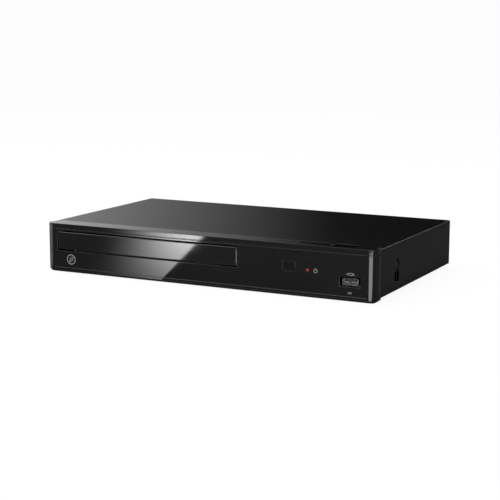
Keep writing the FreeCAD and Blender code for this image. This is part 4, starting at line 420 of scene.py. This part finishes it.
def add_bar(work, size, middle, lean=0.0):
    """Adds a bar of a size round its middle, leaned about Y."""
    verts = bmesh.ops.create_cube(work, size=1.0)["verts"]
    bmesh.ops.scale(work, vec=size, verts=verts)
    bmesh.ops.rotate(work, cent=(0, 0, 0), matrix=Matrix.Rotation(lean, 3, "Y"), verts=verts)
    bmesh.ops.translate(work, vec=middle, verts=verts)


def round_edges(work, radius):
    """Rounds every edge."""
    edges = list(work.edges)
    bmesh.ops.bevel(work, geom=edges, offset=radius, segments=2, affect="EDGES")


# Screws
SCREW_SIDES = 40
SCREW_REACH = 5 * MM
SCREW_RADIUS = 1.4 * MM
HEAD_LEAST = 0.6 * MM
HEAD_MOST = 1 * MM
CROSS_REACH = 0.5
CROSS_SLIT = 0.13
CROSS_FLOOR = 0.25
CROSS_TAPER = 0.7
SPIN_FIRST = 0.4
SPIN_STEP = 1.3


def screw_profile(head_radius, head_height, reach):
    """Radius and height of each ring, from the shank's end over the dome to the recess."""
    dome = ((1, 0), (1, 0.45), (0.93, 0.72), (0.75, 0.93), (0.5, 1), (0.36, 1))
    shank = [(SCREW_RADIUS, -reach), (SCREW_RADIUS, 0.0)]
    return shank + [(head_radius * across, head_height * up) for across, up in dome]


def cross_outline(head_radius):
    """Corners of a cross recess, round its middle."""
    reach = head_radius * CROSS_REACH
    slit = head_radius * CROSS_SLIT
    outline = []
    for quarter in range(4):
        turn = Matrix.Rotation(quarter * math.pi / 2, 4, "Z")
        for x, y in ((reach, -slit), (reach, slit), (slit, slit)):
            outline.append(turn @ Vector((x, y, 0)))
    return outline


def screw_mesh(name, places, head_radius, head_height, reach):
    """Pan head screws with a cross recess, all in one mesh."""
    work = bmesh.new()
    cross = cross_outline(head_radius)
    rise = Vector((0, 0, head_height))
    floor = Vector((0, 0, head_height * CROSS_FLOOR))
    for matrix in places:
        rings = []
        for radius, z in screw_profile(head_radius, head_height, reach):
            ring = []
            for i in range(SCREW_SIDES):
                angle = 2 * math.pi * i / SCREW_SIDES
                spot = Vector((radius * math.cos(angle), radius * math.sin(angle), z))
                ring.append(work.verts.new(matrix @ spot))
            rings.append(ring)
        join_rings(work, rings)
        work.faces.new(list(reversed(rings[0])))
        top = [work.verts.new(matrix @ (v + rise)) for v in cross]
        low = [work.verts.new(matrix @ (v * CROSS_TAPER + floor)) for v in cross]
        join_rings(work, [low, top])
        work.faces.new(low)
        edges = []
        for loop in (rings[-1], top):
            for i in range(len(loop)):
                ends = (loop[i], loop[(i + 1) % len(loop)])
                edges.append(work.edges.get(ends) or work.edges.new(ends))
        bmesh.ops.triangle_fill(work, use_beauty=True, edges=edges)
    bmesh.ops.recalc_face_normals(work, faces=work.faces)
    return mesh_of(work, name)


def facing(place, direction, spin):
    """Matrix that stands a screw at a place, with its head towards a direction."""
    turn = Vector((0, 0, 1)).rotation_difference(Vector(direction)).to_matrix().to_4x4()
    return Matrix.Translation(place) @ turn @ Matrix.Rotation(spin, 4, "Z")


def solids_of(node):
    """Low and high corners of each separate solid of a node."""
    mesh = frame["nodes"][node].data
    parent = list(range(len(mesh.vertices)))
    keys = {}

    def root(i):
        while parent[i] != i:
            parent[i] = parent[parent[i]]
            i = parent[i]
        return i

    for v in mesh.vertices:
        key = tuple(round(c, 7) for c in v.co)
        if key in keys:
            parent[root(v.index)] = root(keys[key])
        keys[key] = v.index
    for edge in mesh.edges:
        a, b = (root(i) for i in edge.vertices)
        parent[a] = b
    groups = {}
    for v in mesh.vertices:
        groups.setdefault(root(v.index), []).append(v.co)
    boxes = []
    for spots in groups.values():
        low = Vector([min(p[i] for p in spots) for i in range(3)])
        high = Vector([max(p[i] for p in spots) for i in range(3)])
        boxes.append((low, high))
    return boxes


def dress_screws(node, body, material, axis_of):
    """Replaces plain screws by screws with a domed head; the screws of a node are alike."""
    places = []
    for index, (low, high) in enumerate(solids_of(node)):
        direction = axis_of(low, high)
        axis = max(range(3), key=lambda i: abs(direction[i]))
        head_radius = (high - low)[(axis + 1) % 3] / 2
        length = (high - low)[axis]
        head_height = min(HEAD_MOST, max(HEAD_LEAST, length - SCREW_REACH))
        seat = (low + high) / 2
        if direction[axis] > 0:
            seat[axis] = high[axis] - head_height
        else:
            seat[axis] = low[axis] + head_height
        places.append(facing(seat, direction, SPIN_FIRST + SPIN_STEP * index))
    mesh = screw_mesh(node, places, head_radius, head_height, length - head_height)
    thing = piece(node + "_heads", mesh, material, body)
    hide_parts(node)


def case_screw_axis(low, high):
    """Which way the head of a case screw looks: out of the rear, the floor or a side."""
    rear = 84 * MM
    floor = 9 * MM
    middle = (low + high) / 2
    if middle.y > rear:
        return (0, 1, 0)
    if middle.z < floor:
        return (0, 0, -1)
    return (1, 0, 0) if middle.x > 0 else (-1, 0, 0)


def board_screw_axis(low, high):
    """Which way the head of a board screw looks: the front board's to the rear, else up."""
    front_board = -86 * MM
    floor_boards = 15 * MM
    on_front = low.y < front_board and low.z > floor_boards
    return (0, 1, 0) if on_front else (0, 0, 1)


# Printed marks on the front
PRINT_DEPTH = 0.02 * MM
FINE_LINE = 0.35 * MM
DISC_X = -130.4 * MM
DISC_Z = 12.3 * MM
DISC_RADIUS = 3.9 * MM
DISC_LINE = 0.5 * MM
HUB_RADIUS = 1 * MM
HUB_LINE = 0.45 * MM
GLINT_RADIUS = 2.4 * MM
GLINT_TURN = math.radians(60)
GLINT_STARTS = (math.radians(20), math.radians(200))
POWER_ACROSS = 7.2 * MM
POWER_RADIUS = 1.35 * MM
POWER_DROP = 0.2 * MM
POWER_LINE = 0.4 * MM
POWER_START = math.radians(125)
POWER_END = math.radians(415)
STROKE_LIFT = 1.05 * MM
STROKE_WIDTH = 0.42 * MM
STROKE_HEIGHT = 1.9 * MM
PLUG_Z = 22.8 * MM
PLUG_LEFT = -1.2 * MM
PLUG_RIGHT = 2.4 * MM
PLUG_HALF = 0.85 * MM
LEAD_MIDDLE = -2.4 * MM
LEAD_LENGTH = 2 * MM
LEAD_LINE = 0.4 * MM
PIN_MIDDLE = 3.2 * MM
PIN_LENGTH = 1.2 * MM
PIN_APART = 0.45 * MM
CURRENT_Z = 7.6 * MM
CURRENT_LENGTH = 3.6 * MM
CURRENT_APART = 0.5 * MM
DASH_LENGTH = 0.9 * MM
DASH_STEP = 1.3 * MM


def ring_loops(x, z, radius, width, start=0.0, end=2 * math.pi, count=48):
    """Small quads that follow an arc."""
    loops = []
    for i in range(count):
        a = start + (end - start) * i / count
        b = start + (end - start) * (i + 1) / count
        corners = ((radius, a), (radius + width, a), (radius + width, b), (radius, b))
        loops.append([(x + r * math.cos(turn), z + r * math.sin(turn)) for r, turn in corners])
    return loops


def bar_loop(x, z, width, height):
    """A plain rectangle round a centre."""
    return [
        (x - width / 2, z - height / 2),
        (x + width / 2, z - height / 2),
        (x + width / 2, z + height / 2),
        (x - width / 2, z + height / 2),
    ]


def disc_mark(x, z):
    """A disc with its hub and two glints."""
    loops = ring_loops(x, z, DISC_RADIUS, DISC_LINE)
    loops += ring_loops(x, z, HUB_RADIUS, HUB_LINE, count=32)
    for start in GLINT_STARTS:
        loops += ring_loops(x, z, GLINT_RADIUS, FINE_LINE, start, start + GLINT_TURN, count=12)
    return loops


def power_mark(x, z):
    """An open ring with a stroke in its gap."""
    loops = ring_loops(
        x, z - POWER_DROP, POWER_RADIUS, POWER_LINE, POWER_START, POWER_END, count=40
    )
    loops.append(bar_loop(x, z + STROKE_LIFT, STROKE_WIDTH, STROKE_HEIGHT))
    return loops


def plug_mark(x, z):
    """A plug with its lead and two pins."""
    middle = x + (PLUG_LEFT + PLUG_RIGHT) / 2
    length = PLUG_RIGHT - PLUG_LEFT
    height = 2 * PLUG_HALF + FINE_LINE
    loops = [bar_loop(x + LEAD_MIDDLE, z, LEAD_LENGTH, LEAD_LINE)]
    for end in (PLUG_LEFT, PLUG_RIGHT):
        loops.append(bar_loop(x + end, z, FINE_LINE, height))
    for side in (-1, 1):
        loops.append(bar_loop(middle, z + side * PLUG_HALF, length, FINE_LINE))
        loops.append(bar_loop(x + PIN_MIDDLE, z + side * PIN_APART, PIN_LENGTH, FINE_LINE))
    return loops


def current_mark(x, z):
    """A long bar over three dashes, for direct current."""
    loops = [bar_loop(x, z + CURRENT_APART, CURRENT_LENGTH, FINE_LINE)]
    for step in (-1, 0, 1):
        loops.append(bar_loop(x + step * DASH_STEP, z - CURRENT_APART, DASH_LENGTH, FINE_LINE))
    return loops


def print_mark(name, loops, material):
    """Prints a thin raised shape on the front, from closed loops of (x, z)."""
    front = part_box("front_panel")[0].y
    work = bmesh.new()
    for loop in loops:
        work.faces.new([work.verts.new(Vector((x, front, z))) for x, z in loop])
    raised = bmesh.ops.extrude_face_region(work, geom=list(work.faces))
    moved = [v for v in raised["geom"] if isinstance(v, bmesh.types.BMVert)]
    bmesh.ops.translate(work, verts=moved, vec=(0, -PRINT_DEPTH, 0))
    bmesh.ops.recalc_face_normals(work, faces=work.faces)
    piece(name, mesh_of(work, name), material, "case")


def middle_of(node):
    """Middle of a node's box."""
    low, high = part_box(node)
    return (low + high) / 2


def add_marks(materials):
    """Plain pictograms: a disc, a power sign, a plug and a direct current sign."""
    ink = materials["print_grey"]
    light = middle_of("led_lens")
    socket = middle_of("usb_socket")
    print_mark("disc_mark", disc_mark(DISC_X, DISC_Z), ink)
    print_mark("power_mark", power_mark(light.x + POWER_ACROSS, light.z), ink)
    print_mark("plug_mark", plug_mark(socket.x, PLUG_Z), ink)
    print_mark("current_mark", current_mark(socket.x, CURRENT_Z), ink)


# Contacts in the sockets
CONTACT_THICK = 0.12 * MM
CONTACT_ROUND = 0.03 * MM
FINE_CONTACT = 0.44 * MM
USB_CONTACTS = 4
USB_STEP = 2.3 * MM
USB_CONTACT = 1 * MM
USB_FRONT = 0.8 * MM
USB_REAR = 1 * MM
PICTURE_CONTACTS = 9
PICTURE_STEP = 1 * MM
PICTURE_FRONT = 1 * MM
PICTURE_REAR = 0.4 * MM
NETWORK_CONTACTS = 8
NETWORK_STEP = 1.02 * MM
NETWORK_DEEP = 13 * MM
NETWORK_REAR = 3 * MM
NETWORK_LOW = 2.45 * MM
NETWORK_HIGH = 2.85 * MM


def contact_row(work, middle, count, step, width, along, heights):
    """Adds a row of thin contacts across X, between two places along Y and two heights."""
    size = (width, along[1] - along[0], heights[1] - heights[0])
    y = (along[0] + along[1]) / 2
    z = (heights[0] + heights[1]) / 2
    for i in range(count):
        add_bar(work, size, (middle + (i - (count - 1) / 2) * step, y, z))


def add_contacts(materials):
    """Gold contacts on the tongues and in the network socket."""
    work = bmesh.new()
    tongues = solids_of("socket_tongues")
    usb = next(box for box in tongues if box[0].y < 0)
    picture = next(box for box in tongues if box[0].y > 0)
    contact_row(
        work,
        middle_of("usb_socket").x,
        USB_CONTACTS,
        USB_STEP,
        USB_CONTACT,
        (usb[0].y + USB_FRONT, usb[1].y - USB_REAR),
        (usb[0].z - CONTACT_THICK, usb[0].z),
    )
    for low in (picture[0].z - CONTACT_THICK, picture[1].z):
        contact_row(
            work,
            (picture[0].x + picture[1].x) / 2,
            PICTURE_CONTACTS,
            PICTURE_STEP,
            FINE_CONTACT,
            (picture[0].y + PICTURE_FRONT, picture[1].y - PICTURE_REAR),
            (low, low + CONTACT_THICK),
        )
    network_low, network_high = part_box("lan_socket")
    contact_row(
        work,
        middle_of("lan_socket").x,
        NETWORK_CONTACTS,
        NETWORK_STEP,
        FINE_CONTACT,
        (network_high.y - NETWORK_DEEP, network_high.y - NETWORK_REAR),
        (network_low.z + NETWORK_LOW, network_low.z + NETWORK_HIGH),
    )
    round_edges(work, CONTACT_ROUND)
    mesh = mesh_of(work, "contacts")
    piece("socket_contacts", mesh, materials["pin_brass"], "case")


# Slats behind the side slots
SLAT_COUNT = 6
SLAT_SIZE = (2.2 * MM, 11 * MM, 0.3 * MM)
SLAT_LEAN = math.radians(50)
SLAT_STEP = 1.5 * MM
SLAT_LIFT = 10.8 * MM
SLAT_ACROSS = 152.2 * MM
SLAT_BACK = -45.5 * MM
SLAT_ROUND = 0.06 * MM


def add_slats(materials):
    """Thin black slats inside the slot of each side, put there as a dark stand-in for the shade inside
    the case; they keep light out, so the slot shows dark.
    """
    work = bmesh.new()
    for side in (-1, 1):
        for i in range(SLAT_COUNT):
            middle = (side * SLAT_ACROSS, SLAT_BACK, SLAT_LIFT + i * SLAT_STEP)
            add_bar(work, SLAT_SIZE, middle, -side * SLAT_LEAN)
    round_edges(work, SLAT_ROUND)
    # The black slats stand in for the shade inside the slot.
    mesh = mesh_of(work, "slot_shade_slats")
    piece("slot_shade_slats", mesh, materials["socket_black"], "case")


# Fine bead low on the front
BEAD_REACH = 149.3 * MM
BEAD_TAPER = 3 * MM
BEAD_RADIUS = 0.36 * MM
BEAD_TIP = 0.02 * MM
BEAD_LIFT = 4.5 * MM
BEAD_SIDES = 16


def add_bead(materials):
    """A fine raised line along the front's lower edge, which runs out at both ends."""
    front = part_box("front_panel")[0].y
    full = BEAD_REACH - BEAD_TAPER
    work = bmesh.new()
    rings = []
    for x, radius in (
        (-BEAD_REACH, BEAD_TIP),
        (-full, BEAD_RADIUS),
        (full, BEAD_RADIUS),
        (BEAD_REACH, BEAD_TIP),
    ):
        ring = []
        for i in range(BEAD_SIDES):
            angle = 2 * math.pi * i / BEAD_SIDES
            place = (x, front + radius * math.cos(angle), BEAD_LIFT + radius * math.sin(angle))
            ring.append(work.verts.new(place))
        rings.append(ring)
    join_rings(work, rings)
    work.faces.new(rings[0])
    work.faces.new(rings[-1][::-1])
    bmesh.ops.recalc_face_normals(work, faces=list(work.faces))
    for face in work.faces:
        face.smooth = len(face.verts) == 4
    mesh = mesh_of(work, "front_bead")
    piece("front_bead", mesh, materials["front_gloss"], "case")


# Floor, world and lamps
FLOOR_HALF = 6
FLOOR_FRONT = -4
FLOOR_REAR = 3
FLOOR_BEND = 1.6
BEND_STEPS = 12
BACKDROP_TOP = 6
FLOOR_WHITE = 0.9
FLOOR_SHINE = 1.03
WORLD_LIGHT = 0.55


def floor_material():
    """Pale paper, which is white where it is seen and keeps the object's shadow."""
    m = new_material("floor_paper")
    tone = m.mix(m.noise(0.5, detail=2.0), (0.86, 0.86, 0.86, 1), (0.88, 0.88, 0.88, 1))
    m.feed(m.shader.inputs["Base Color"], tone)
    m.shader.inputs["Roughness"].default_value = 0.9
    m.shader.inputs["Specular IOR Level"].default_value = 0.0
    white = m.add("ShaderNodeEmission", Strength=FLOOR_SHINE)
    blend = m.add("ShaderNodeMixShader")
    m.feed(blend.inputs[0], m.calculate("MULTIPLY", m.seen_rays(), FLOOR_WHITE))
    m.feed(blend.inputs[1], m.shader.outputs[0])
    m.feed(blend.inputs[2], white.outputs[0])
    m.show(blend)
    return m.owner


def add_floor():
    """Pale floor that rises far behind into a backdrop of the same colour."""
    work = bmesh.new()
    profile = [(FLOOR_FRONT, 0)]
    for i in range(BEND_STEPS + 1):
        angle = math.pi / 2 * i / BEND_STEPS
        across = FLOOR_BEND * math.sin(angle)
        profile.append((FLOOR_REAR + across, FLOOR_BEND * (1 - math.cos(angle))))
    profile.append((FLOOR_REAR + FLOOR_BEND, BACKDROP_TOP))
    left = [work.verts.new((-FLOOR_HALF, y, z)) for y, z in profile]
    right = [work.verts.new((FLOOR_HALF, y, z)) for y, z in profile]
    for i in range(len(profile) - 1):
        face = work.faces.new((left[i], right[i], right[i + 1], left[i + 1]))
        face.smooth = True
    floor = new_object("floor", mesh_of(work, "floor"))
    floor.data.materials.append(floor_material())


def add_world():
    """Even soft light from all sides, that is white where it is seen, also in gloss and glass."""
    world = bpy.data.worlds.new("studio")
    bpy.context.scene.world = world
    m = Nodes(world)
    ranged = m.add("ShaderNodeMapRange", Value=m.seen_rays())
    ranged.inputs["To Min"].default_value = WORLD_LIGHT
    background = m.tree.nodes["Background"]
    background.inputs["Color"].default_value = (1, 1, 1, 1)
    m.feed(background.inputs["Strength"], ranged.outputs["Result"])


def soft_box(name, place, size, power):
    """Adds a square soft box that looks at the object."""
    data = bpy.data.lights.new(name, "AREA")
    data.size = size
    data.energy = power
    lamp = new_object(name, data)
    lamp.location = place
    lamp.rotation_euler = Vector(place).to_track_quat("Z", "Y").to_euler()


def add_lights():
    """Soft boxes above and at the left."""
    soft_box("top_box", place=(-0.3, -0.4, 1.8), size=1.6, power=16)
    soft_box("left_box", place=(-1.6, -0.9, 0.9), size=1.0, power=9)


# Cards that only show in the gloss
CARD_LIFT = 0.4 * MM
TABLE_LIFT = 0.2 * MM
LIP_LIFT = 0.3 * MM
TABLE_HALF = 0.9
TABLE_FRONT = -1.2
TABLE_REAR = 0.7
TABLE_GLOW = 0.08
WEDGE_EDGE = -41.3 * MM
WEDGE_SLOPE = 0.358
WEDGE_WIDTH = 225 * MM
WEDGE_NEAR = -91 * MM
WEDGE_FAR = -325 * MM
WEDGE_GLOW = 14.6
WEDGE_ALONG = (1, -0.5333, 0)
WEDGE_DARK = -87 * MM
WEDGE_BRIGHT = 38 * MM
WEDGE_GAIN = 0.94
WEDGE_BASE = 0.28
WEDGE_CURVE = 2.0
FRONT_FACE = 90 * MM
WEDGE_DEEP = 318 * MM
CORNER_X = 150.5 * MM
CORNER_Y = -92 * MM
CORNER_REACH = 220 * MM
CORNER_LEFT = -0.3
CORNER_RIGHT = 0.6
CORNER_GLOW = 5.0
LIP_REACH = 150 * MM
LIP_NEAR = -93 * MM
LIP_FAR = -100 * MM
LIP_GLOW = 1.6
LEFT_CORNERS = ((-0.158, -0.09), (-0.383, -0.358), (-0.45, -0.2), (-0.45, -0.1))
LEFT_GLOW = 1.8
SIDE_LEFT = 0.17
SIDE_FRONT = -0.1
SIDE_GLOW = 0.125
BACK_HALF = 3
BACK_PLACE = 0.75
BACK_LOW = 1 * MM
BACK_TOP = 3
BACK_DARK = 0.235
BACK_BRIGHT = 0.86
BACK_CURVE = 1.35
BACK_GLOW = 1.15
BEND_LEFT = 0.24
BEND_RIGHT = 0.42
BEND_PLACE = 0.745
BEND_LOW = 0.3
BEND_TOP = 0.42
BEND_GLOW = 6.0


def card(name, corners, light):
    """Adds a card that only shows in reflections; its light is a number or is worked out."""
    work = bmesh.new()
    work.faces.new([work.verts.new(Vector(corner)) for corner in corners])
    thing = new_object(name, mesh_of(work, name))
    m = new_material(name)
    m.show(m.add("ShaderNodeEmission", Strength=light(m) if callable(light) else light))
    thing.data.materials.append(m.owner)
    thing.visible_camera = False
    thing.visible_diffuse = False
    thing.visible_shadow = False
    thing.visible_transmission = False


def floor_card(name, corners, lift, light):
    """Lays a card on the floor from the (x, y) of its corners."""
    card(name, [(x, y, lift) for x, y in corners], light)


def rectangle(left, right, low, high):
    """Corners of a rectangle."""
    return [(left, low), (right, low), (right, high), (left, high)]


def upright_card(name, corners, y, light):
    """Stands a card behind the object from the (x, z) of its corners."""
    card(name, [(x, y, z) for x, z in corners], light)


def wedge_light(m):
    """Light of the wedge: it fades to the left, and a little towards the front."""
    across = m.measure(WEDGE_ALONG, WEDGE_DARK, WEDGE_BRIGHT, smooth=True)
    ahead = m.measure((0, -1, 0), FRONT_FACE, WEDGE_DEEP)
    lifted = m.calculate("ADD", m.calculate("MULTIPLY", ahead, WEDGE_GAIN), WEDGE_BASE)
    share = m.calculate("MULTIPLY", m.calculate("POWER", across, WEDGE_CURVE), lifted)
    return m.calculate("ADD", m.calculate("MULTIPLY", share, WEDGE_GLOW), TABLE_GLOW)


def back_light(m):
    """Light of the card behind: it grows to the left."""
    across = m.measure((-1, 0, 0), BACK_DARK, BACK_BRIGHT)
    return m.calculate("MULTIPLY", m.calculate("POWER", across, BACK_CURVE), BACK_GLOW)


def wedge_corners():
    """Corners of the wedge, whose right edge shows as a slanting line on the front."""
    near_x = WEDGE_EDGE + WEDGE_SLOPE * (WEDGE_NEAR + FRONT_FACE)
    far_x = WEDGE_EDGE + WEDGE_SLOPE * (WEDGE_FAR + FRONT_FACE)
    return [
        (near_x, WEDGE_NEAR),
        (near_x - WEDGE_WIDTH, WEDGE_NEAR),
        (far_x - WEDGE_WIDTH, WEDGE_FAR),
        (far_x, WEDGE_FAR),
    ]


def end_corners():
    """Corners of the three-cornered card that lights the front's rounded right end."""
    far_y = CORNER_Y - CORNER_REACH
    return [
        (CORNER_X, CORNER_Y),
        (CORNER_X + CORNER_LEFT * CORNER_REACH, far_y),
        (CORNER_X + CORNER_RIGHT * CORNER_REACH, far_y),
    ]


def add_cards():
    """The dark table, the bright shapes on it and the graded card behind."""
    table = rectangle(-TABLE_HALF, TABLE_HALF, TABLE_FRONT, TABLE_REAR)
    lip = rectangle(-LIP_REACH, LIP_REACH, LIP_FAR, LIP_NEAR)
    side = rectangle(SIDE_LEFT, TABLE_HALF, SIDE_FRONT, TABLE_REAR)
    floor_card("table_card", table, TABLE_LIFT, TABLE_GLOW)
    floor_card("bright_wedge", wedge_corners(), CARD_LIFT, wedge_light)
    floor_card("corner_wedge", end_corners(), CARD_LIFT, CORNER_GLOW)
    floor_card("lip_glow", lip, LIP_LIFT, LIP_GLOW)
    floor_card("left_glow", LEFT_CORNERS, CARD_LIFT, LEFT_GLOW)
    floor_card("side_glow", side, CARD_LIFT, SIDE_GLOW)
    back = rectangle(-BACK_HALF, BACK_HALF, BACK_LOW, BACK_TOP)
    bend = rectangle(BEND_LEFT, BEND_RIGHT, BEND_LOW, BEND_TOP)
    upright_card("back_card", back, BACK_PLACE, back_light)
    upright_card("bend_card", bend, BEND_PLACE, BEND_GLOW)


bpy.context.scene.view_settings.view_transform = "Standard"
materials = make_materials()
add_camera()
finish_nodes(materials)
dress_screws("case_screws", "case", materials["screw_black"], case_screw_axis)
dress_screws("board_screws", "case", materials["screw_zinc"], board_screw_axis)
add_marks(materials)
add_contacts(materials)
add_slats(materials)
add_bead(materials)
add_floor()
add_world()
add_lights()
add_cards()
